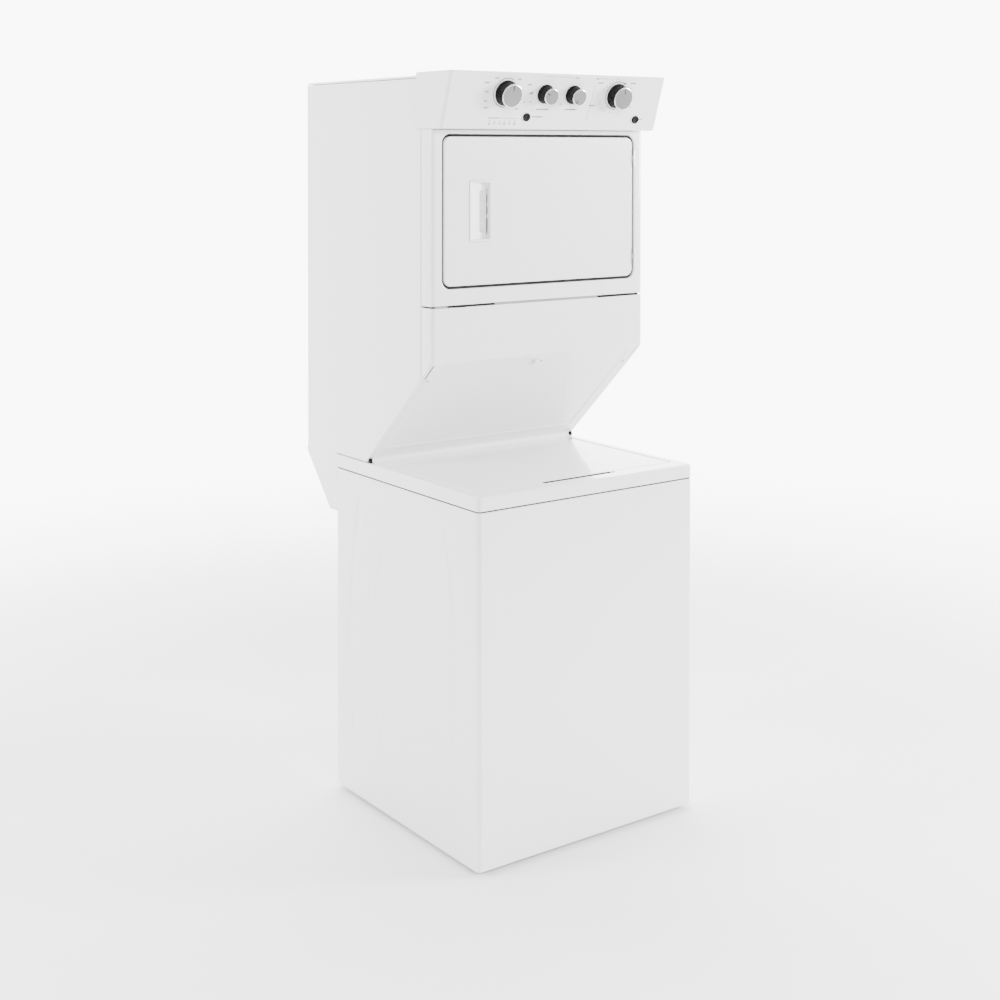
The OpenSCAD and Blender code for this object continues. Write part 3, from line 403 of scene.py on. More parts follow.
def arcReach(arc, z, c):
    dz = z - c["arcMiddle"][1]
    return arc["offset"] - arc["bow"] + math.sqrt(arc["bow"] ** 2 - dz * dz)


def pressedDepth(spread, z, c):
    # depth of the pressing at a distance from the side's middle line
    outer, inner, soft = c["outerArc"], c["innerArc"], c["soft"]
    half = outer["wide"] / 2
    off = abs(abs(spread) - arcReach(outer, z, c))
    groove = 1 - smooth(half - soft / 2, half + soft / 2, off)
    groove *= smooth(outer["ends"][0] - 4, outer["ends"][0] + 8, z)
    groove *= 1 - smooth(outer["ends"][1] - 8, outer["ends"][1] + 4, z)
    lens = 1 - smooth(-soft / 2, soft / 2, abs(spread) - arcReach(inner, z, c))
    lens *= smooth(inner["ends"][0] - 8, inner["ends"][0] + 16, z)
    lens *= 1 - smooth(inner["ends"][1] - 16, inner["ends"][1] + 8, z)
    return c["press"] * max(groove, lens)


def sideStops(z, c):
    # places along the side where its columns stand at height z, from front to back
    soft = c["soft"]
    outer, inner = arcReach(c["outerArc"], z, c), arcReach(c["innerArc"], z, c)
    half = c["outerArc"]["wide"] / 2
    ahead = [outer + half + 18]
    for edge in (outer + half, outer - half, inner):
        ahead += [edge + soft * k for k in (0.5, 0.25, 0, -0.25, -0.5)]
    ahead += [inner * k for k in (0.66, 0.33)]
    return [c["arcMiddle"][0] - d for d in ahead] + [c["arcMiddle"][0]] + \
           [c["arcMiddle"][0] + d for d in ahead[::-1]]


def cabinetColumn(z, inset, c):
    # one row of the wrapped sheet at height z, from the left back edge round the front
    half, r = c["width"] / 2 - inset, c["corner"] - min(inset, c["corner"] - 1)
    yFront = c["front"] + inset
    stops = sideStops(z, c)
    pressing = 0 if inset else 1
    right = [(half - pressing * pressedDepth(y - c["arcMiddle"][0], z, c), y) for y in stops]
    corner = [(half - r + r * math.cos(t), yFront + r - r * math.sin(t))
              for t in [math.pi / 2 * k / 6 for k in range(6, -1, -1)]]
    ending = [(half, c["back"] - 3), (half - 0.9, c["back"] - 0.9), (half - 3, c["back"]),
              (half - c["backReturn"], c["back"])]
    bottom = [(x, yFront) for x in (-half + r + 40, -half / 2, 0, half / 2, half - r - 40)]
    rightSide = corner + right + ending
    leftSide = [(-x, y) for x, y in rightSide[::-1]]
    return [(x, y, z) for x, y in leftSide + bottom + rightSide]


def cabinetPiece(c):
    heights = [c["low"] + (c["top"] - 3 - c["low"]) * k / 110 for k in range(111)]
    rows = [cabinetColumn(z, 0, c) for z in heights]
    rows += [cabinetColumn(c["top"] - 3 + 3 * math.sin(t), 3 * (1 - math.cos(t)) + 1e-3, c)
             for t in (math.pi / 8, math.pi / 4, math.pi * 3 / 8, math.pi / 2)]
    rows.append(cabinetColumn(c["top"], c["lip"], c))
    columns = [list(column) for column in zip(*rows)]
    settle("washerCabinet", netting(columns), "cabinet", "enamel", ["washer_cabinet"],
           wall=sheet)


cabinetPiece(cabinet)
print("cabinet ready")

# Washer deck and lid

deck = {"low": 869, "top": 903.5, "edge": 5, "corner": 12, "backCorner": 4, "wall": 2,
        "wellSide": 318.5, "wellFront": -360, "wellBack": 81, "wellFloor": 884.5, "scoop": 125,
        "scoopFoot": 109, "scoopDeep": 12.5, "mouthLow": (-222, -322), "mouthHigh": (222, 34),
        "mouthRound": 110}


def deckPiece(d, c):
    stops = [-300, -200, -d["scoop"] - 0.5, -d["scoop"], -d["scoopFoot"], -60, 60, d["scoopFoot"], d["scoop"],
             d["scoop"] + 0.5, 200, 300]
    half = c["width"] / 2

    def outline(inset):
        r, back = max(d["corner"] - inset, 1), max(d["backCorner"] - inset, 1)
        return roundLoop((-half + inset, c["front"] + inset), (half - inset, c["back"] - inset),
                         (r, r, back, back), side=8, stops=stops)

    def well(grow, scooped=True):
        loop = roundLoop((-d["wellSide"] - grow, d["wellFront"] - grow),
                         (d["wellSide"] + grow, d["wellBack"] + grow), 8 + grow, side=8, stops=stops)
        if not scooped:
            return loop
        return [(x, y - d["scoopDeep"] if abs(x) <= d["scoopFoot"] + 0.1 and y < d["wellFront"] + 1 else y)
                for x, y in loop]

    def mouth(grow):
        return roundLoop([v - grow for v in d["mouthLow"]], [v + grow for v in d["mouthHigh"]],
                         d["mouthRound"] + grow, side=8, stops=[x * 0.37 for x in stops])

    rings = [level(outline(sheet), d["low"]), level(outline(0), d["low"] + 1)]
    rings += [level(outline(i), d["top"] - dz) for i, dz in turn(d["edge"])]
    rings += [level(well(grow), d["top"] - dz) for grow, dz in
              [(1.6, 0), (0.9, 0.12), (0.35, 0.5), (0.08, 1.1), (0, 1.8)]]
    rings += [level(well(0), d["wellFloor"] + 2), level(well(-0.6), d["wellFloor"] + 0.6),
              level(well(-2), d["wellFloor"])]
    rings += [level(mouth(8), d["wellFloor"]), level(mouth(4), d["wellFloor"] - 1.2),
              level(mouth(1), d["wellFloor"] - 4), level(mouth(0), d["wellFloor"] - 8),
              level(mouth(0), d["low"] + 1)]
    settle("washerDeck", loft(rings), "cabinet", "enamel", ["washer_top"], wall=1.6)


lid = {"side": 315, "front": -357, "back": 76, "thick": 15, "round": 8, "edge": 3.5, "crown": 1.2,
       "innerSide": 312, "innerBack": 62}


def lidPiece(l, d):
    top = d["top"] - 0.3

    def outline(inset):
        return roundLoop((-l["side"] + inset, l["front"] + inset), (l["side"] - inset, l["back"] - inset),
                         max(l["round"] - inset, 1.5), side=12)

    def crowned(share):
        loop = [((x - 0) * share, (y - yMid) * share + yMid) for x, y in outline(l["edge"] + 3)]
        return [(x, y, top + l["crown"] * (1 - max(abs(x) / l["side"], abs(y - yMid) / yHalf) ** 2.4)
                 * (0.35 + 0.65 * (1 - share ** 3))) for x, y in loop]

    yMid, yHalf = (l["front"] + l["back"]) / 2, (l["back"] - l["front"]) / 2
    low = top - l["thick"]
    rings = [level(outline(14), low + 4), level(outline(13), low + 1), level(outline(11), low),
             level(outline(2), low), level(outline(0.5), low + 0.6), level(outline(0), low + 2)]
    rings += [level(outline(i), top - dz) for i, dz in turn(l["edge"], 5)]
    rings += [crowned(s) for s in (1, 0.94, 0.86, 0.74, 0.6, 0.44, 0.26, 0.1)]
    shape = loft(rings, capFirst=True, capLast=True)
    for side in (-1, 1):   # pivots
        x = side * l["side"]
        pin = [[(x + side * (a - 1), 70 + 3.9 * math.cos(t) * b, 895.5 + 3.9 * math.sin(t) * b)
                for t in [2 * math.pi * side * k / 24 for k in range(24)]]
               for a, b in ((0, 1), (8.2, 1), (8.8, 0.8))]
        loft(pin, capFirst=True, capLast=True, shape=shape)
    settle("washerLid", shape, "lid", "enamel", ["washer_lid"])


def deckShadeStrip(d, c):
    # painted shade: a dark strip in the gap between the deck and the cabinet stands in for the shadow there
    half = c["width"] / 2

    def outline(inset):
        r = max(d["corner"] - inset, 1)
        return roundLoop((-half + inset, c["front"] + inset), (half - inset, c["back"] - inset), (r, r, 3, 3))

    rings = [level(outline(i), z) for i, z in ((9, 865), (2.2, 865), (2.2, 870), (9, 870))]
    settle("deckSeam", loft(rings, ringsMeet=True), "cabinet", "rubber")


def lidEdging(l, d):
    # painted shade: dark strips low on the sides and front of the lid, higher at the finger scoop, stand in for the
    # shadow in the gap round the lid
    side, front = l["side"], l["front"]
    shape = bmesh.new()
    for low, high, sunk in (((-side - 1, front - 1), (-side + 0.5, 40), 4.5), ((side - 0.5, front - 1), (side + 1, 40), 4.5),
                            ((-side, front - 1), (side, front + 0.5), 4.5),
                            ((-d["scoopFoot"], front - 1.2), (d["scoopFoot"], front + 0.6), 1)):
        loops = [level(roundLoop(low, high, 0.5, arc=2, side=1), z) for z in (d["top"] - 13, d["top"] - sunk)]
        loft(loops, capFirst=True, capLast=True, shape=shape)
    settle("lidEdging", shape, "lid", "rubber")


deckPiece(deck, cabinet)
deckShadeStrip(deck, cabinet)
lidEdging(lid, deck)
lidPiece(lid, deck)
print("deck and lid ready")

# Dryer sheet metal

dryer = {"half": 342, "sideFront": -164, "back": 411.95, "low": 906, "top": 1910, "front": -214,
         "footY": 89, "footZ": 917, "slopeZ": 1198, "seam": 1335, "consoleLow": 1776,
         "consoleBack": -148, "corner": 10, "sideTop": 1902.5}
slopeRise = (dryer["slopeZ"] - dryer["footZ"]) / (dryer["footY"] - dryer["front"])


def slopeAt(y):
    return dryer["footZ"] + (dryer["footY"] - y) * slopeRise


def insetPolygon(points, inset):
    # anticlockwise corners moved inwards by inset
    moved = []
    for i, p in enumerate(points):
        before, after = Vector(points[i - 1]), Vector(points[(i + 1) % len(points)])
        here = Vector(p)
        u, v = (here - before).normalized(), (after - here).normalized()
        m, n = Vector((-u.y, u.x)), Vector((-v.y, v.x))
        moved.append(tuple(here + (m + n) * (inset / (1 + m.dot(n)))))
    return moved


def dryerSide(d, way, name, replaced):
    outline = [(d["sideFront"], slopeAt(d["sideFront"])), (d["footY"], d["footZ"]), (d["footY"] + 8, d["low"]),
               (d["back"], d["low"]), (d["back"], d["sideTop"]), (d["consoleBack"] + 1.5, d["sideTop"]),
               (d["consoleBack"] + 1.5, d["consoleLow"] - 0.1), (d["sideFront"], d["consoleLow"] - 0.1)]
    rings = [(0.2, 12), (0, 4)] + turn(2.5, 4)
    loops = []
    for inset, depth in rings:
        loop = insetPolygon(outline, inset)
        loops.append([(way * (d["half"] - depth), y, z) for y, z in (loop if way > 0 else loop[::-1])])
    shape = loft(loops, capLast=True)
    settle(name, shape, "cabinet", "enamel", replaced, wall=sheet)


dryerSide(dryer, 1, "dryerSideRight", ["dryer_side_right"])
dryerSide(dryer, -1, "dryerSideLeft", ["dryer_side_left"])


def topPanel(d):
    def outline(inset):
        return roundLoop((-d["half"] + inset, d["consoleBack"] + 1.5 + inset), (d["half"] - inset, d["back"] - inset),
                         max(5 - inset, 0.5))

    rings = [level(outline(8), d["sideTop"] + 1.2), level(outline(1), d["sideTop"] + 1.2),
             level(outline(0), d["sideTop"] + 2)]
    rings += [level(outline(i), d["top"] - dz) for i, dz in turn(4)]
    settle("dryerTop", loft(rings, capLast=True), "cabinet", "enamel", ["dryer_top_panel"], wall=sheet)


topPanel(dryer)

surround = {"low": 1337, "high": 1775.9, "recessX": 312, "recessLow": 1379, "recessHigh": 1764,
            "recessDeep": 30, "recessRound": 25, "edge": 3, "floorFillet": 4, "throatW": 400,
            "throatH": 290, "throatRound": 70}
doorMid = (surround["recessLow"] + surround["recessHigh"]) / 2


def recessLoop(s, grow):
    return roundLoop((-s["recessX"] - grow, s["recessLow"] - grow), (s["recessX"] + grow, s["recessHigh"] + grow),
                     s["recessRound"] + grow, arc=8, side=8)


def throatLoop(s, grow):
    return roundLoop((-s["throatW"] / 2 - grow, doorMid - s["throatH"] / 2 - grow),
                     (s["throatW"] / 2 + grow, doorMid + s["throatH"] / 2 + grow),
                     s["throatRound"] + grow, arc=8, side=8)


def doorSurround(s, d):
    def outline(inset, rise):
        return roundLoop((-d["half"] + inset, s["low"] + rise), (d["half"] - inset, s["high"] - rise), 0.4,
                         arc=8, side=8)

    y = d["front"]
    rings = [front(outline(2, 0.8), d["sideFront"] - 1), front(outline(0.6, 0.6), d["sideFront"] - 1.3),
             front(outline(0, 0.6), d["sideFront"] - 2.6)]
    rings += [front(outline(i, 0.6 + i * 0.18), y + dy) for i, dy in turn(d["corner"], 6)]
    rings += [front(recessLoop(s, g), y + dy) for g, dy in
              ((s["edge"] + 1, 0), (s["edge"], 0), (1.5, 0.4), (0.5, 1.4), (0, s["edge"]))]
    deep, fillet = s["recessDeep"], s["floorFillet"]
    rings += [front(recessLoop(s, -fillet * (1 - math.cos(t))), y + deep - fillet + fillet * math.sin(t))
              for t in [math.pi / 2 * k / 4 for k in range(5)]]
    rings += [front(throatLoop(s, g), y + deep + dy) for g, dy in ((5, 0), (4, 0), (2, 0.6), (0.6, 2), (0, 4), (0, 10))]
    settle("doorSurround", loft(rings), "cabinet", "enamel", ["dryer_front_panel"], wall=sheet)


doorSurround(surround, dryer)


def accessPanel(d):
    top = d["seam"] - 2
    r, half = d["corner"], d["half"]
    turns = [math.pi / 2 * k / 8 for k in range(9)]
    yBack = d["sideFront"]

    def column(inset, lift):
        h, f, c = half - inset, d["front"] + inset, max(r - inset, 0.5)
        right = [(h - c + c * math.sin(t), f + c - c * math.cos(t)) for t in turns] + [(h, yBack - 18), (h, yBack - 2.6), (h - 0.6, yBack - 1.3), (h - 2, yBack - 1)]
        left = [(-x, y) for x, y in right[::-1]]
        middle = [(x, f) for x in (-250, -120, 0, 120, 250)]
        return [(x, y) for x, y in left + middle + right]

    def low(y, up):
        return slopeAt(y) + up

    rows = []
    for inset, up in ((9, 1.2), (3, 1.2), (1.2, 1.6), (0.4, 2.4), (0, 4.2)):
        rows.append([(x, y, low(y, up)) for x, y in column(inset, up)])
    for inset, down in ((0, 2.4), (0.3, 1.2), (1, 0.4), (2.4, 0), (14, 0)):
        rows.append([(x, y, top - down) for x, y in column(inset, down)])
    columns = [list(column) for column in zip(*rows)]
    settle("accessPanel", netting(columns), "cabinet", "enamel", ["lower_access_panel"], wall=sheet)


accessPanel(dryer)


def sideSeams(d):
    # painted shade: dark lines in the upright seams, two dark strips and a few small dark marks in the seam over the
    # access panel, with paler grey strips between them, all standing in for shadow in those seams
    def strip(shape, loops):
        loft(loops, capFirst=True, capLast=True, shape=shape)

    dark, pale = bmesh.new(), bmesh.new()
    for way in (-1, 1):
        for low, high in ((slopeAt(d["sideFront"]) + 6, d["seam"] - 4), (d["seam"] + 4, d["consoleLow"] - 3)):
            a, b = sorted((way * (d["half"] - 0.25), way * (d["half"] - 4)))
            strip(dark, [level(roundLoop((a, d["sideFront"] - 2.1), (b, d["sideFront"] - 0.5), 0.2, arc=2, side=1), z)
                         for z in (low, high)])
    for shape, x0, x1, deep in ((dark, -295, -151, 2.2), (dark, 185, 328, 2.2), (pale, -331, -295.5, 0.8),
                                (pale, -150.5, 184.5, 0.8), (dark, -273, -238, 0.6), (dark, 190, 222, 0.6),
                                (dark, 228, 262, 0.6)):
        strip(shape, [front(roundLoop((x0, d["seam"] - 2.6), (x1, d["seam"] + 2.6), 0.5, arc=2, side=1),
                            d["front"] + y) for y in (6, deep)])
    settle("seamShadows", dark, "cabinet", "rubber")
    # paler grey strips of painted shade in the seam over the access panel
    settle("seamFiller", pale, "cabinet", "seal_grey")


sideSeams(dryer)


def bumperDot(b):
    # small dark plug beside the bumper
    low, high = b
    mid = Vector(((low[0] + high[0]) * 500 + 15, (low[1] + high[1]) * 500, (low[2] + high[2]) * 500))
    out = Vector((0, -0.68, -0.733))
    mid += out * (out.dot(Vector((mid.x, dryer["front"], dryer["slopeZ"])) - mid))
    turned = Matrix.Translation(mid) @ out.to_track_quat("Z", "Y").to_matrix().to_4x4()
    loops = [[turned @ Vector((r * math.cos(t), r * math.sin(t), h)) for t in [math.tau * k / 20 for k in range(20)]]
             for r, h in ((2.4, -1), (2.4, 0.6), (2, 1))]
    settle("bumperDot", loft(loops, capFirst=True, capLast=True), "cabinet", "black_plastic")


bumperDot(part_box("lid_bumper"))

slope = {"half": 329.5, "fieldX": 306, "fieldLow": 40, "fieldHigh": 20, "emboss": 1.6, "soft": 3, "cove": 8}


def slopePanel(s, d):
    angle = math.atan(slopeRise)
    outwards = Vector((0, -math.sin(angle), -math.cos(angle)))
    down = Vector((0, math.cos(angle), -math.sin(angle)))
    topY = d["front"] + 2
    start = Vector((0, topY, slopeAt(topY)))
    endZ = deck["top"] + sheet + s["cove"] * (1 + math.cos(angle))
    length = (start.z - endZ) / math.sin(angle)
    soft = s["soft"]

    def stepped(edges, ends):
        stops = [ends[0], ends[0] + 1.5]
        for e in edges:
            stops += [e + soft * k for k in (-1, -0.5, 0, 0.5, 1)]
        return sorted(stops + [ends[1] - 1.5, ends[1]])

    xs = sorted(stepped((-s["fieldX"], s["fieldX"]), (-s["half"], s["half"])) + [-200, -100, 0, 100, 200])
    alongs = stepped((s["fieldHigh"], length - s["fieldLow"]), (0, length))
    alongs = sorted(alongs + [length * k / 6 for k in range(1, 6)])
    columns = []
    for x in xs:
        column = []
        for a in alongs[::-1]:
            field = smooth(-soft, soft, s["fieldX"] - abs(x)) * smooth(-soft, soft, a - s["fieldHigh"]) \
                * smooth(-soft, soft, length - s["fieldLow"] - a)
            p = start + down * a - outwards * (s["emboss"] * field)
            column.append((x, p.y, p.z))
        cove = Vector((0, (start + down * length).y, (start + down * length).z)) + outwards * s["cove"]
        foot = []
        for k in range(1, 9):
            t = (math.pi - angle) * k / 8 if False else angle + (math.pi / 2 - angle + math.pi / 2 - 0.02) * k / 8
            direction = Vector((0, math.sin(t), math.cos(t)))
            foot.append(cove + direction * s["cove"])
        column = [(x, p.y, p.z) for p in foot[::-1]] + column
        columns.append(column)
    settle("slopedPanel", netting(columns), "cabinet", "enamel", ["sloped_panel"], wall=sheet, crease=50)
    clips = bmesh.new()
    for side in (-1, 1):
        a, b = sorted((side * (s["half"] + 1), side * (s["half"] + 9)))
        loops = [level(roundLoop((a, d["footY"] - 5), (b, d["footY"] + 6), 2), z)
                 for z in (d["low"] - 1, d["low"] + 6, d["footZ"] - 2)]
        loops.append(level(roundLoop((a + 1, d["footY"] - 4), (b - 1, d["footY"] + 5), 1.5), d["footZ"] - 1))
        loft(loops, capFirst=True, capLast=True, shape=clips)
    settle("slopeClips", clips, "cabinet", "black_plastic")


slopePanel(slope, dryer)
print("dryer sheet metal ready")

# Console

console = {"half": 346.1, "low": 1776, "high": 1917.7, "topY": -303, "lowY": -257, "back": -148,
           "edge": 8, "knobZ": 1866, "bigKnobs": (-170, 189), "smallKnobs": (-47, 43), "bigR": 33,
           "smallR": 25, "knobH": 31, "buttons": ((-92.3, 1807), (268.7, 1805)), "buttonR": 11,
           "lampX": -204, "lampStep": 15.6, "lampZ": 1796}
faceTilt = math.atan2(console["lowY"] - console["topY"], console["high"] - console["low"])


def faceY(z):
    return console["lowY"] - (z - console["low"]) * math.tan(faceTilt)


def consoleShell(c):
    def outline(inset, rise):
        return roundLoop((-c["half"] + inset, c["low"] + rise), (c["half"] - inset, c["high"] - rise),
                         max(c["edge"] * 0.5 - inset * 0.4, 0.8), arc=6, side=8)

    rings = [[(x, c["back"], z) for x, z in outline(4, 4)], [(x, c["back"], z) for x, z in outline(1, 1)],
             [(x, c["back"] - 1.5, z) for x, z in outline(0, 0)]]
    for i, depth in turn(c["edge"], 7):
        rings.append([(x, faceY(z) + depth, z) for x, z in outline(i, i * 0.42)])
    settle("consoleShell", loft(rings, capFirst=True, capLast=True), "cabinet", "console_plastic",
           ["console_housing", "console_fascia"])


consoleShell(console)


def facePlace(x, z, out=0.0):
    # a frame on the console's face: +Z points out of it and +Y up along it
    at = Vector((x, faceY(z), z))
    tilt = Matrix.Rotation(math.pi / 2 + faceTilt, 4, "X")
    return Matrix.Translation(at) @ tilt @ Matrix.Translation((0, 0, out))


def knobPieces(c, name, x, r, body, replaced, pointer):
    gripR, h = r - 3.2, c["knobH"]
    capR = gripR - 0.2

    def ribs(radius, height, t):
        if radius < gripR - 0.5 or height < 10.5 or height > h - 3.9:
            return radius
        return radius - 0.55 * (0.5 + 0.5 * math.cos(t * 60))

    profile = [(4, 1), (r - 4, 1), (r - 1.2, 1.2), (r - 0.2, 2.0), (r, 3.4), (r - 0.3, 5), (r - 1.4, 6.6),
               (gripR + 0.2, 8.6), (gripR, 10), (gripR, 11), (gripR, 15), (gripR, h - 4.4), (gripR, h - 3.4), (gripR - 0.4, h - 2.8),
               (gripR - 3, h - 2.6)]
    place = facePlace(x, c["knobZ"])
    settle(name + "Grip", lathe(profile, 240, ribs), body, "black_plastic", replaced, place=place)
    rim = [(4, h - 2.8), (capR - 0.6, h - 2.8), (capR, h - 2.4), (capR, h - 1.6), (capR - 0.2, h - 0.9),
           (capR - 0.6, h - 0.3), (capR - 1.3, h), (capR - 1.9, h - 0.1), (capR - 2.2, h - 0.9), (4, h - 0.9)]
    settle(name + "Rim", lathe(rim, 128), body, "chrome", place=place)
    faceShape = bmesh.new()
    uv = faceShape.loops.layers.uv.new("UVMap")
    reach = [0.6, 3, 8, (capR - 3) * 0.6, (capR - 3) * 0.85, capR - 2.7]
    count = 96
    rows = [[faceShape.verts.new((q * math.cos(2 * math.pi * i / count), q * math.sin(2 * math.pi * i / count),
                                  h - 0.55 + 0.25 * (1 - (q / capR) ** 2))) for i in range(count)] for q in reach]
    made = [faceShape.faces.new(rows[0])]
    for a, b in zip(rows, rows[1:]):
        for i in range(count):
            j = (i + 1) % count
            made.append(faceShape.faces.new((a[i], b[i], b[j], a[j])))
    for face in made:
        for corner in face.loops:
            p = corner.vert.co
            corner[uv].uv = (math.atan2(p.y, p.x) / math.tau + 0.5, p.xy.length / capR)
    settle(name + "Face", faceShape, body, "knob_metal", place=place)
    mark = [[(u, v, h - 0.45 + w) for u, v in roundLoop((-1.1 + e, capR * 0.42 + e), (1.1 - e, capR - 3.6 - e), 0.9 - e,
                                                        arc=4, side=2)] for w, e in ((-0.2, 0), (0.25, 0), (0.4, 0.3))]
    pointerPlace = place @ Matrix.Rotation(math.radians(pointer), 4, "Z")
    settle(name + "Pointer", loft(mark, capFirst=True, capLast=True), body, "print_grey",
           place=pointerPlace)


knobPieces(console, "cycleKnob", console["bigKnobs"][0], console["bigR"], "cycle_dial", ["cycle_knob"], 0)
knobPieces(console, "temperatureKnob", console["smallKnobs"][0], console["smallR"], "temperature_dial",
           ["temperature_knob"], 60)
knobPieces(console, "softenerKnob", console["smallKnobs"][1], console["smallR"], "softener_dial",
           ["softener_knob"], 150)
knobPieces(console, "timerKnob", console["bigKnobs"][1], console["bigR"], "timer_dial", ["timer_knob"], 0)


def startButton(c, name, at, body, replaced):
    r = c["buttonR"] - 0.3
    profile = [(2, -6), (r, -6), (r, 2.6), (r - 0.3, 3.4), (r - 1, 3.9), (r - 1.8, 4), (r - 2.6, 3.7), (r - 5, 3.2),
               (1, 2.9)]
    settle(name, lathe(profile, 64), body, "black_plastic", replaced, place=facePlace(*at))


startButton(console, "washerStart", console["buttons"][0], "washer_start", ["washer_start_button"])
startButton(console, "dryerStart", console["buttons"][1], "dryer_start", ["dryer_start_button"])
print("console ready")

# Door

door = {"halfX": 305.5, "low": 1385.5, "high": 1757.5, "round": 20, "edge": 3.5, "skin": 14, "handleX": -195.5,
        "handleW": 69, "handleH": 154, "pocketLow": (-191, 1517), "pocketHigh": (-169, 1621)}


def doorLoop(d, inset, r=None):
    return roundLoop((-d["halfX"] + inset, d["low"] + inset), (d["halfX"] - inset, d["high"] - inset),
                     max(d["round"] - inset, 2), arc=8, side=8)


def handleLoop(d, grow, r):
    w, h = d["handleW"] / 2 + grow, d["handleH"] / 2 + grow
    return roundLoop((d["handleX"] - w, doorMid - h), (d["handleX"] + w, doorMid + h), r, arc=8, side=8)


def doorSkin(d, y):
    rings = [front(doorLoop(d, 6), y + d["skin"]), front(doorLoop(d, 1), y + d["skin"]),
             front(doorLoop(d, 0), y + d["skin"] - 1)]
    rings += [front(doorLoop(d, i), y + dy) for i, dy in turn(d["edge"], 5)]
    rings += [front(handleLoop(d, -2.6, 3), y), front(handleLoop(d, -3.2, 2.6), y + 0.3),
              front(handleLoop(d, -3.6, 2.4), y + 3)]
    settle("doorSkin", loft(rings), "dryer_door", "enamel", ["door_panel"], wall=sheet)


def doorHandle(d, y):
    # a frame round a scoop that deepens to the right, with a pocket for the fingertips
    left = d["handleX"] - d["handleW"] / 2

    def scoop(loop):
        return [(x, y + 2 + 9 * smooth(left + 4, left + 46, x), z) for x, z in loop]

    def pocket(grow, deep, r):
        low, high = d["pocketLow"], d["pocketHigh"]
        loop = roundLoop((low[0] - grow, low[1] - grow), (high[0] + grow, high[1] + grow), r, arc=8, side=8)
        return [(x, y + 2 + 9 * smooth(left + 4, left + 46, x) + deep, z) for x, z in loop]

    rings = [front(handleLoop(d, -4.2, 2), y + 10), front(handleLoop(d, -3.9, 2.4), y + 0.4),
             front(handleLoop(d, 0, 5), y - 0.05), front(handleLoop(d, 0, 5), y - 1),
             front(handleLoop(d, -0.4, 4.8), y - 1.5), front(handleLoop(d, -1.2, 4.6), y - 1.7),
             front(handleLoop(d, -4.4, 4.6), y - 1.7), front(handleLoop(d, -5.4, 4.6), y - 1.1),
             scoop(handleLoop(d, -6, 5))]
    rings += [scoop(handleLoop(d, -9, 6)), pocket(3, 0, 7), pocket(1, 0.4, 5), pocket(0.2, 1.6, 4.6), pocket(0, 3, 4.4),
              [(x, y + 19, z) for x, _, z in pocket(-1, 0, 4)]]
    # painted shade: a thin grey ring round the handle frame stands in for the shadow in the gap round it
    line = [front(handleLoop(d, g, 5 + g), y + dy) for g, dy in ((-1, 0.2), (-1, -0.35), (0.7, -0.35), (0.7, 0.2))]
    settle("handleLine", loft(line, ringsMeet=True), "dryer_door", "seal_grey")
    shape = loft(rings, capLast=True)
    settle("doorHandle", shape, "dryer_door", "console_plastic", ["door_handle"], wall=0.8)


def doorLiner(d, y, s):
    back = y + s["recessDeep"] - 4
    rings = [front(doorLoop(d, 3), y + 3), front(doorLoop(d, 1.6), y + 13)]
    rings = [front(doorLoop(d, 2.4), y + 15), front(doorLoop(d, 2.4), back - 7)]
    rings += [front(doorLoop(d, 2.4 + i), back - dy) for i, dy in turn(7, 5)]
    rings += [front(throatLoop(s, g), back + dy) for g, dy in
              ((-8, 0), (-10, 0), (-13, 0.8), (-15.5, 3), (-16, 6), (-16, 9), (-17, 11.4), (-20, 12), (-30, 12),
               (-34, 11), (-38, 7), (-44, 5), (-60, 4))]
    shape = loft([ring[::-1] for ring in rings], capLast=True)
    settle("doorLiner", shape, "dryer_door", "liner_enamel", ["door_liner"], wall=1.2)
    seal = []
    for k in range(12):
        t = 2 * math.pi * k / 12
        seal.append(front(throatLoop(s, 18 - 6 * math.cos(t)), back + 2 + 2.2 * math.sin(t)))
    settle("doorSeal", loft(seal, ringsMeet=True), "dryer_door", "seal_grey", ["door_seal"])


doorSkin(door, dryer["front"])
doorHandle(door, dryer["front"])
doorLiner(door, dryer["front"], surround)
print("door ready")

def doorGasket(s, d, y):
    # painted shade: a dark rubber-finished ring fills the gap between the door and its recess and stands in for the
    # shadow there
    def pressed(loopOf, grow, depth):
        return front(loopOf(grow), y + depth)

    def inner(grow):
        return doorLoop(d, -grow)

    rings = [pressed(lambda g: recessLoop(s, g), -0.1, 27), pressed(lambda g: recessLoop(s, g), -0.1, 6.5),
             pressed(lambda g: recessLoop(s, g), -1.2, 4.8), pressed(inner, 2.2, 4.8), pressed(inner, 1, 6.5),
             pressed(inner, 1, 27)]
    settle("doorGasket", loft(rings, ringsMeet=True), "cabinet", "rubber")


doorGasket(surround, door, dryer["front"])

hinges = {"x": 308.75, "y": -216, "heights": (1439, 1703), "tall": 44, "round": 3, "pin": 1.5}


def hingeKnuckles(h):
    shape = bmesh.new()
    for mid in h["heights"]:
        for way in (-1, 1):
            z = mid + way * h["tall"] / 3
            size = h["tall"] / 6 - 0.2
            for r, low, high in ((h["round"], z - size, z + size), (h["pin"], z - size - 1, z + size + 1)):
                loops = [[(h["x"] + q * math.cos(t), h["y"] + q * math.sin(t), at) for t in
                          [math.tau * k / 20 for k in range(20)]]
                         for q, at in ((r - 0.5, low), (r, low + 0.5), (r, high - 0.5), (r - 0.5, high))]
                loft(loops, capFirst=True, capLast=True, shape=shape)
            leaf = [level(roundLoop((h["x"], h["y"] + 0.4), (h["x"] + 4, h["y"] + 5), 0.4, arc=2, side=1), at)
                    for at in (z - size, z + size)]
            loft(leaf, capFirst=True, capLast=True, shape=shape)
    settle("hingeKnuckles", shape, "cabinet", "bright_steel")


hingeKnuckles(hinges)


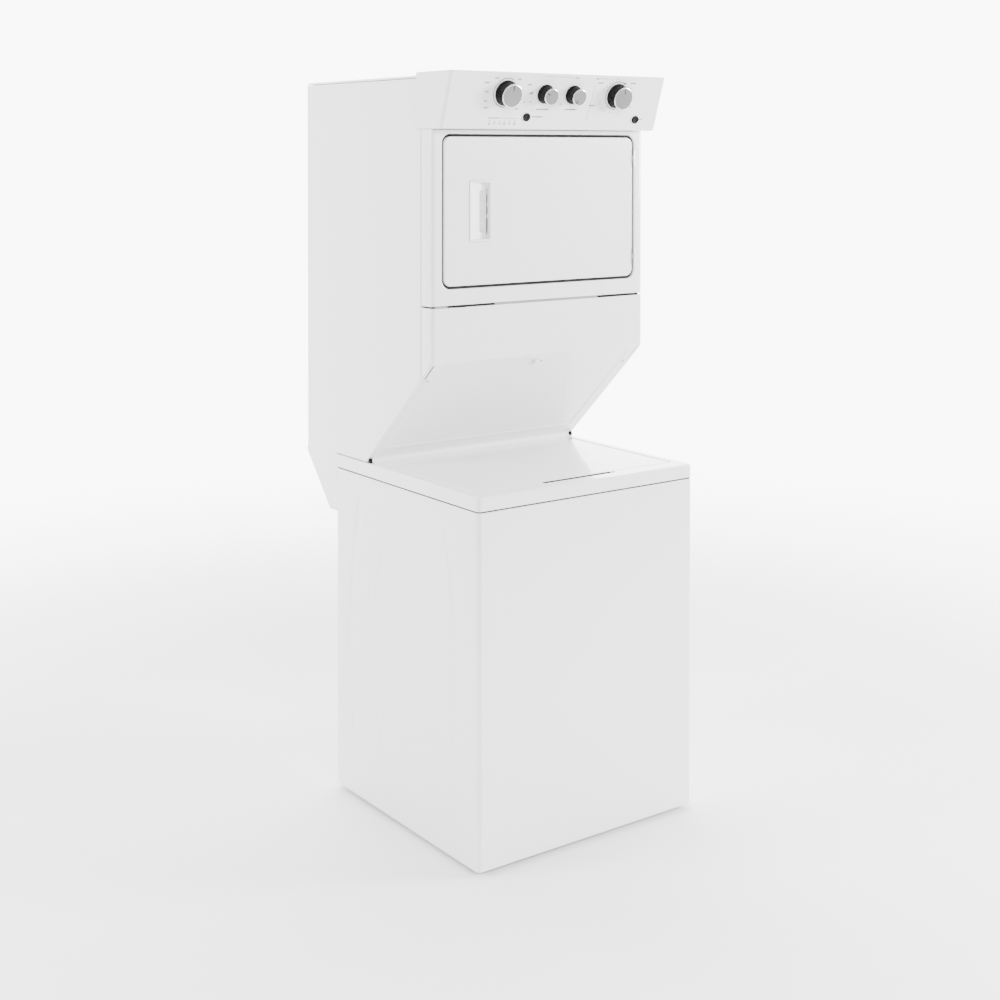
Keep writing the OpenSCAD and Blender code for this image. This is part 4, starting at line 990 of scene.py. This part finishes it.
def latchTab(s, y):
    loops = [front(roundLoop((-287, s["recessHigh"] - 6.2), (-262, s["recessHigh"] - 0.2), 1.2, arc=3, side=1), at)
             for at in (y + 12, y + 2.2)]
    settle("latchTab", loft(loops, capFirst=True, capLast=True), "cabinet", "black_plastic")


latchTab(surround, dryer["front"])

# What repeats is made by geometry nodes. These trees work in metres.


class Pattern(Maker):
    def __init__(self, name, inputs):
        self.tree = bpy.data.node_groups.new(name, "GeometryNodeTree")
        sockets = self.tree.interface
        sockets.new_socket("Geometry", in_out="INPUT", socket_type="NodeSocketGeometry")
        self.known = {}
        for label, value in inputs.items():
            kind = "NodeSocketInt" if isinstance(value, int) else "NodeSocketFloat"
            self.known[label] = sockets.new_socket(label, in_out="INPUT", socket_type=kind)
            self.known[label].default_value = value
        sockets.new_socket("Geometry", in_out="OUTPUT", socket_type="NodeSocketGeometry")
        self.start = self.tree.nodes.new("NodeGroupInput")

    def given(self, label):
        return Signal(self, self.start.outputs[label])

    def close(self, geometry, finish):
        real = self.node("GeometryNodeRealizeInstances", None, {"Geometry": geometry})
        painted = self.node("GeometryNodeSetMaterial", None,
                            {"Geometry": real, "Material": finishes[finish]})
        end = self.tree.nodes.new("NodeGroupOutput")
        self.tree.links.new(painted.socket, end.inputs[0])
        return self


def growPattern(name, pattern, values, body, place=None, base=None, replaced=()):
    mesh = bpy.data.meshes.new(name)
    if base:
        mesh.from_pydata([p for p, _ in base], [], [])
        facing = mesh.attributes.new("facing", "FLOAT_VECTOR", "POINT")
        for item, (_, way) in zip(facing.data, base):
            item.vector = way
    piece = bpy.data.objects.new(name, mesh)
    scene.collection.objects.link(piece)
    change = piece.modifiers.new("pattern", "NODES")
    change.node_group = pattern.tree
    for label, value in values.items():
        change[pattern.known[label].identifier] = value
    bake(piece)
    if place:
        piece.data.transform(place)
    return dress(piece, body, None, replaced)


def metres(place):
    scaled = place.copy()
    scaled.translation = place.translation * 0.001
    return scaled


def dialTicks(finish):
    p = Pattern("dial ticks", {"Radius": 0.04, "Count": 12, "Start": 0.0, "Sweep": 6.0, "Long": 0.004,
                               "Wide": 0.0008, "Thick": 0.0003})
    line = p.node("GeometryNodeMeshLine", None, {"Count": p.given("Count")})
    index = p.node("GeometryNodeInputIndex")
    angle = p.given("Start") + p.given("Sweep") * index / (p.given("Count") - 1)
    at = p.node("ShaderNodeCombineXYZ", None, {0: p.given("Radius") * angle.maths("COSINE", angle),
                                               1: p.given("Radius") * angle.maths("SINE", angle)})
    moved = p.node("GeometryNodeSetPosition", None, {"Geometry": line, "Position": at})
    size = p.node("ShaderNodeCombineXYZ", None, {0: p.given("Long"), 1: p.given("Wide"), 2: p.given("Thick")})
    tick = p.node("GeometryNodeMeshCube", None, {"Size": size})
    spin = p.node("ShaderNodeCombineXYZ", None, {2: angle})
    ticks = p.node("GeometryNodeInstanceOnPoints", None, {"Points": moved, "Instance": tick, "Rotation": spin})
    return p.close(ticks, finish)


def lampRow(finish):
    p = Pattern("lamp row", {"Count": 6, "Step": 0.0156, "Radius": 0.0015})
    step = p.node("ShaderNodeCombineXYZ", None, {0: p.given("Step")})
    line = p.node("GeometryNodeMeshLine", None, {"Count": p.given("Count"), "Offset": step})
    bead = p.node("GeometryNodeMeshUVSphere", None, {"Segments": 16, "Rings": 8, "Radius": p.given("Radius")})
    flat = p.node("GeometryNodeTransform", None, {"Geometry": bead, "Scale": (1, 1, 0.45)})
    lamps = p.node("GeometryNodeInstanceOnPoints", None, {"Points": line, "Instance": flat})
    return p.close(lamps, finish)


def screwHeads(finish):
    # a raised head with a cross cut, swept from a few rings, set on points that carry a facing
    p = Pattern("screw heads", {"Radius": 0.005, "High": 0.0022, "Cross": 0.0011})
    r, h = p.given("Radius"), p.given("High")
    rim = p.node("GeometryNodeMeshCylinder", None, {"Vertices": 28, "Radius": r, "Depth": h * 0.5}, "Mesh")
    low = p.node("GeometryNodeTransform", None, {"Geometry": rim, "Translation": p.node(
        "ShaderNodeCombineXYZ", None, {2: h * 0.25})})
    dome = p.node("GeometryNodeMeshCone", None, {"Vertices": 28, "Radius Bottom": r, "Radius Top": r * 0.72,
                                                 "Depth": h * 0.45}, "Mesh")
    cap = p.node("GeometryNodeTransform", None, {"Geometry": dome, "Translation": p.node(
        "ShaderNodeCombineXYZ", None, {2: h * 0.5})})
    arms = []
    for x, y in ((r * 1.1, p.given("Cross")), (p.given("Cross"), r * 1.1)):
        size = p.node("ShaderNodeCombineXYZ", None, {0: x, 1: y, 2: h * 0.5})
        arm = p.node("GeometryNodeMeshCube", None, {"Size": size})
        arms.append(p.node("GeometryNodeTransform", None, {"Geometry": arm, "Translation": p.node(
            "ShaderNodeCombineXYZ", None, {2: h})}))
    body = p.tree.nodes.new("GeometryNodeJoinGeometry")
    for part in (low, cap):
        p.tree.links.new(part.socket, body.inputs[0])
    cut = p.tree.nodes.new("GeometryNodeMeshBoolean")
    cut.operation = "DIFFERENCE"
    whole = p.node("GeometryNodeMeshBoolean", {"operation": "UNION"})
    for part in (low, cap):
        p.tree.links.new(part.socket, whole.socket.node.inputs["Mesh 2"])
    p.tree.nodes.remove(body)
    p.tree.links.new(whole.socket, cut.inputs["Mesh 1"])
    for arm in arms:
        p.tree.links.new(arm.socket, cut.inputs["Mesh 2"])
    head = Signal(p, cut.outputs["Mesh"])
    facing = p.node("GeometryNodeInputNamedAttribute", {"data_type": "FLOAT_VECTOR"}, {"Name": "facing"},
                    "Attribute")
    turned = p.node("FunctionNodeAlignRotationToVector", {"axis": "Z"}, {"Vector": facing}, "Rotation")
    points = p.node("GeometryNodeMeshToPoints", None, {"Mesh": Signal(p, p.start.outputs["Geometry"])})
    heads = p.node("GeometryNodeInstanceOnPoints", None, {"Points": points, "Instance": head, "Rotation": turned})
    return p.close(heads, finish)


def perforations(finish):
    # painted shade: flattened black dots stand in for the dark seen through the holes of a drum, row by row
    p = Pattern("perforations", {"Around": 60, "Rows": 30, "Drum Radius": 0.24, "Low": 0.36, "High": 0.78,
                                 "Hole Radius": 0.002})
    count = p.given("Around") * p.given("Rows")
    line = p.node("GeometryNodeMeshLine", None, {"Count": count})
    index = p.node("GeometryNodeInputIndex")
    row = index.maths("FLOOR", index / p.given("Around"))
    angle = (index + 0.5 * row) * 2 * math.pi / p.given("Around")
    level = p.given("Low") + (p.given("High") - p.given("Low")) * row / (p.given("Rows") - 1)
    at = p.node("ShaderNodeCombineXYZ", None, {0: p.given("Drum Radius") * angle.maths("COSINE", angle),
                                               1: p.given("Drum Radius") * angle.maths("SINE", angle), 2: level})
    moved = p.node("GeometryNodeSetPosition", None, {"Geometry": line, "Position": at})
    rim = p.node("GeometryNodeMeshUVSphere", None, {"Segments": 8, "Rings": 4, "Radius": p.given("Hole Radius")})
    holeShade = p.node("GeometryNodeTransform", None, {"Geometry": rim, "Scale": (0.2, 1, 1)})
    spin = p.node("ShaderNodeCombineXYZ", None, {2: angle})
    holeShades = p.node("GeometryNodeInstanceOnPoints", None, {"Points": moved, "Instance": holeShade, "Rotation": spin})
    return p.close(holeShades, finish)


# Printing, lamps and screws

printing = {"thick": 0.12, "divider": (103, 1802, 1892), "topLines": ((-60, 32, 1909), (118, 150, 1908)),
            "lampTitle": (-209, -119, 1803.5),
            "words": ((-205, 1901, 13), (-232, 1889.5, 15), (-229, 1867, 11), (-227, 1844.5, 10),
                      (-222, 1828, 15), (-134, 1900, 10), (-100, 1887, 14), (-92, 1865, 11), (-107, 1844, 4),
                      (-127, 1827, 9), (-88, 1868, 6), (-88, 1845, 6), (46, 1907.5, 13), (-47, 1827, 40),
                      (43, 1828, 36), (-58, 1808, 34), (-80, 1826, 3), (115, 1907, 10), (127, 1897, 18),
                      (238, 1899, 20), (112, 1839, 20), (235, 1838, 18), (288, 1806, 12), (209, 1898, 10),
                      (232, 1884, 10), (-18, 1841, 4), (10, 1841, 4)),
            "timerMarks": ((150, 1888, "60"), (141, 1880, "50"), (158, 1896, "70"), (182, 1909, "80"),
                           (136, 1852, "40"), (137, 1843, "30"), (147, 1832, "20"), (157, 1826, "10"),
                           (176, 1823, "90"), (207, 1824, "5"), (214, 1829, "0"), (166, 1903, "1"))}


def printWords(s):
    dark, light = bmesh.new(), bmesh.new()

    def bar(shape, x0, x1, z, tall):
        mid = facePlace((x0 + x1) / 2, z)
        w, t = (x1 - x0) / 2, tall / 2
        e = min(t, w) * 0.35
        loops = [[mid @ Vector((u, v, h)) for u, v in roundLoop((-w, -t), (w, t), e, arc=2, side=1)]
                 for h in (-0.1, s["thick"])]
        loft(loops, capFirst=True, capLast=True, shape=shape)

    for n, (x, z, wide) in enumerate(s["words"]):
        # a word is a run of short strokes of uneven width
        place, end, k = x - wide / 2, x + wide / 2, 0
        while place < end - 0.6:
            stroke = (1.7, 1.2, 2.1, 1.4)[(n + k) % 4]
            bar(dark if wide > 9 else light, place, min(place + stroke, end), z + 0.15 * ((n + k) % 3), 3)
            place, k = place + stroke + (0.7, 0.5, 0.9)[(n + 2 * k) % 3], k + 1
    x, low, high = s["divider"]
    mid = facePlace(x + 4, (low + high) / 2)
    loops = [[mid @ Vector((u + v * 0.08, v, h)) for u, v in roundLoop((-0.35, -46), (0.35, 46), 0.2, arc=2, side=4)]
             for h in (-0.1, s["thick"])]
    loft(loops, capFirst=True, capLast=True, shape=light)
    for x0, x1, z in s["topLines"]:
        bar(light, x0, x1, z, 0.8)
    x0, x1, z = s["lampTitle"]
    bar(dark, x0, x0 + 34, z, 2.0)
    bar(light, x0 + 37, x1, z, 0.7)
    for k in range(6):
        at = console["lampX"] + k * console["lampStep"]
        bar(light, at - 4, at + 4, 1790.5, 1.7)
        if k in (0, 3, 5):
            bar(light, at - 3, at + 3, 1787, 1.6)
    settle("consolePrint", dark, "cabinet", "print_grey")
    settle("consolePrintLight", light, "cabinet", "print_light")


def printNumbers(s):
    shapes = []
    for x, z, text in s["timerMarks"]:
        words = bpy.data.curves.new("number", "FONT")
        words.body, words.size, words.extrude = text, 0.0048, 0.00008
        words.align_x, words.align_y = "CENTER", "CENTER"
        words.resolution_u = 3
        holder = bpy.data.objects.new("number", words)
        scene.collection.objects.link(holder)
        bpy.context.view_layer.update()
        graph = bpy.context.evaluated_depsgraph_get()
        mesh = bpy.data.meshes.new_from_object(holder.evaluated_get(graph))
        mesh.transform(metres(facePlace(x, z, 0.1)))
        shapes.append(mesh)
        bpy.data.objects.remove(holder)
    joined = bmesh.new()
    for mesh in shapes:
        joined.from_mesh(mesh)
    joined.transform(Matrix.Scale(1000, 4))
    settle("dialNumbers", joined, "cabinet", "print_grey")


def dialRing(c, name, x, r, start, sweep):
    # a printed arc round a dial
    place = facePlace(x, c["knobZ"])
    count = 48
    shape = bmesh.new()
    rows = []
    for radius, h in ((r + 3.6, -0.1), (r + 3.6, 0.12), (r + 5.2, 0.12), (r + 5.2, -0.1)):
        rows.append([shape.verts.new((radius * math.cos(t), radius * math.sin(t), h)) for t in
                     [math.radians(start + sweep * k / count) for k in range(count + 1)]])
    for a, b in zip(rows, rows[1:] + rows[:1]):
        for k in range(count):
            shape.faces.new((a[k], b[k], b[k + 1], a[k + 1]))
    for k in (0, count):
        shape.faces.new([row[k] for row in (rows if k else rows[::-1])])
    settle(name, shape, "cabinet", "print_light", place=place)


printWords(printing)
printNumbers(printing)
ticks = dialTicks("print_grey")
for name, x, r, count, start, sweep in (("cycleTicks", -170, 33, 13, 0.55, 5.2), ("timerTicks", 189, 33, 19, 0.6, 5.6),
                                        ("temperatureTicks", -47, 25, 4, 2.6, 4.2),
                                        ("softenerTicks", 43, 25, 3, 3.6, 2.2)):
    growPattern(name, ticks, {"Radius": (r + 6.4) / 1000, "Count": count, "Start": start, "Sweep": sweep,
                              "Long": 0.0022, "Wide": 0.0007}, "cabinet",
                metres(facePlace(x, console["knobZ"], 0.02)))
dialRing(console, "cycleRing", -170, 33, 62, 216)
dialRing(console, "timerRing", 189, 33, 52, 226)
growPattern("progressLamps", lampRow("print_grey"), {"Count": 6, "Step": console["lampStep"] / 1000}, "cabinet",
            metres(facePlace(console["lampX"], console["lampZ"], 0.1)))

slopeOut = Vector((0, -slopeRise, -1)).normalized()
slopePoints = [((side * 0.32, -0.16, slopeAt(-160) / 1000), slopeOut) for side in (-1, 1)]
screw = screwHeads("bright_steel")
growPattern("panelScrews", screw, {"Radius": 0.005, "High": 0.0026}, "cabinet", base=slopePoints,
            replaced=["panel_screws"])
rear = []
for z in (0.93, 1.2, 1.5, 1.75, 1.89):
    rear += [((x, 0.37795, z), Vector((0, 1, 0))) for x in (-0.325, 0.325)]
rear += [((x, 0.37795, z), Vector((0, 1, 0))) for x in (-0.16, 0, 0.16) for z in (0.93, 1.89)]
rear += [((x, 0.24685, z), Vector((0, 1, 0))) for x in (-0.26, 0, 0.26) for z in (0.05, 0.4, 0.735)]
growPattern("rearScrews", screw, {"Radius": 0.0055, "High": 0.0026}, "cabinet", base=rear)
growPattern("basketHoles", perforations("black_plastic"), {"Around": 66, "Rows": 30, "Drum Radius": 0.24265,
            "Low": 0.36, "High": 0.79, "Hole Radius": 0.0021}, "basket",
            Matrix.Translation((0, -0.095, 0)))
print("repeats ready")

# Floor, light and the last lines

stage = {"floor": 9, "fadeFrom": 1.3, "fadeTo": 4.5, "ahead": 1.15, "behind": 9.5,
         "lamps": {"rightLight": ((4.6, -3.2, 2.3), 1.8, 760), "leftLight": ((-4.8, 1.6, 2.6), 1.8, 380),
                   "fillLight": ((-1.6, -5.0, 3.4), 1.6, 260)}}


def studio(s):
    shape = bmesh.new()
    bmesh.ops.create_grid(shape, x_segments=2, y_segments=2, size=s["floor"])
    mesh = bpy.data.meshes.new("floor")
    shape.to_mesh(mesh)
    floor = bpy.data.objects.new("floor", mesh)
    scene.collection.objects.link(floor)
    # pale floor that fades into the light around it
    f = Finish("floor", {"Roughness": 0.8, "Specular IOR Level": 0.2})
    place = f.place()
    f.wear(f.tint(f.noise(place, 3, 3), (0.88, 0.88, 0.88), (0.9, 0.9, 0.9)))
    away = f.node("ShaderNodeVectorMath", {"operation": "LENGTH"}, {0: place}, "Value")
    f.feed(f.shader.inputs["Alpha"], 1 - away.between(s["fadeFrom"], s["fadeTo"]))
    mesh.materials.append(f.material)
    # soft light all round, stronger from behind the object
    world = bpy.data.worlds.new("studio")
    scene.world = world
    world.use_nodes = True
    sky = Maker()
    sky.tree = world.node_tree
    ground = world.node_tree.nodes["Background"]
    ground.inputs["Color"].default_value = (1, 1, 1, 1)
    way = sky.node("ShaderNodeTexCoord", out="Generated")
    along = sky.node("ShaderNodeVectorMath", {"operation": "DOT_PRODUCT"}, {0: way, 1: (0.586, 0.81, 0)}, "Value")
    sky.feed(ground.inputs["Strength"], s["ahead"] + (s["behind"] - s["ahead"]) * along.between(0.15, 0.7))
    for name, (place, size, power) in s["lamps"].items():
        lamp = bpy.data.lights.new(name, "AREA")
        lamp.energy, lamp.size = power, size
        holder = bpy.data.objects.new(name, lamp)
        scene.collection.objects.link(holder)
        holder.location = place
        holder.rotation_euler = (Vector((0, 0, 0.9)) - holder.location).to_track_quat("-Z", "Y").to_euler()


studio(stage)
print("stage ready")
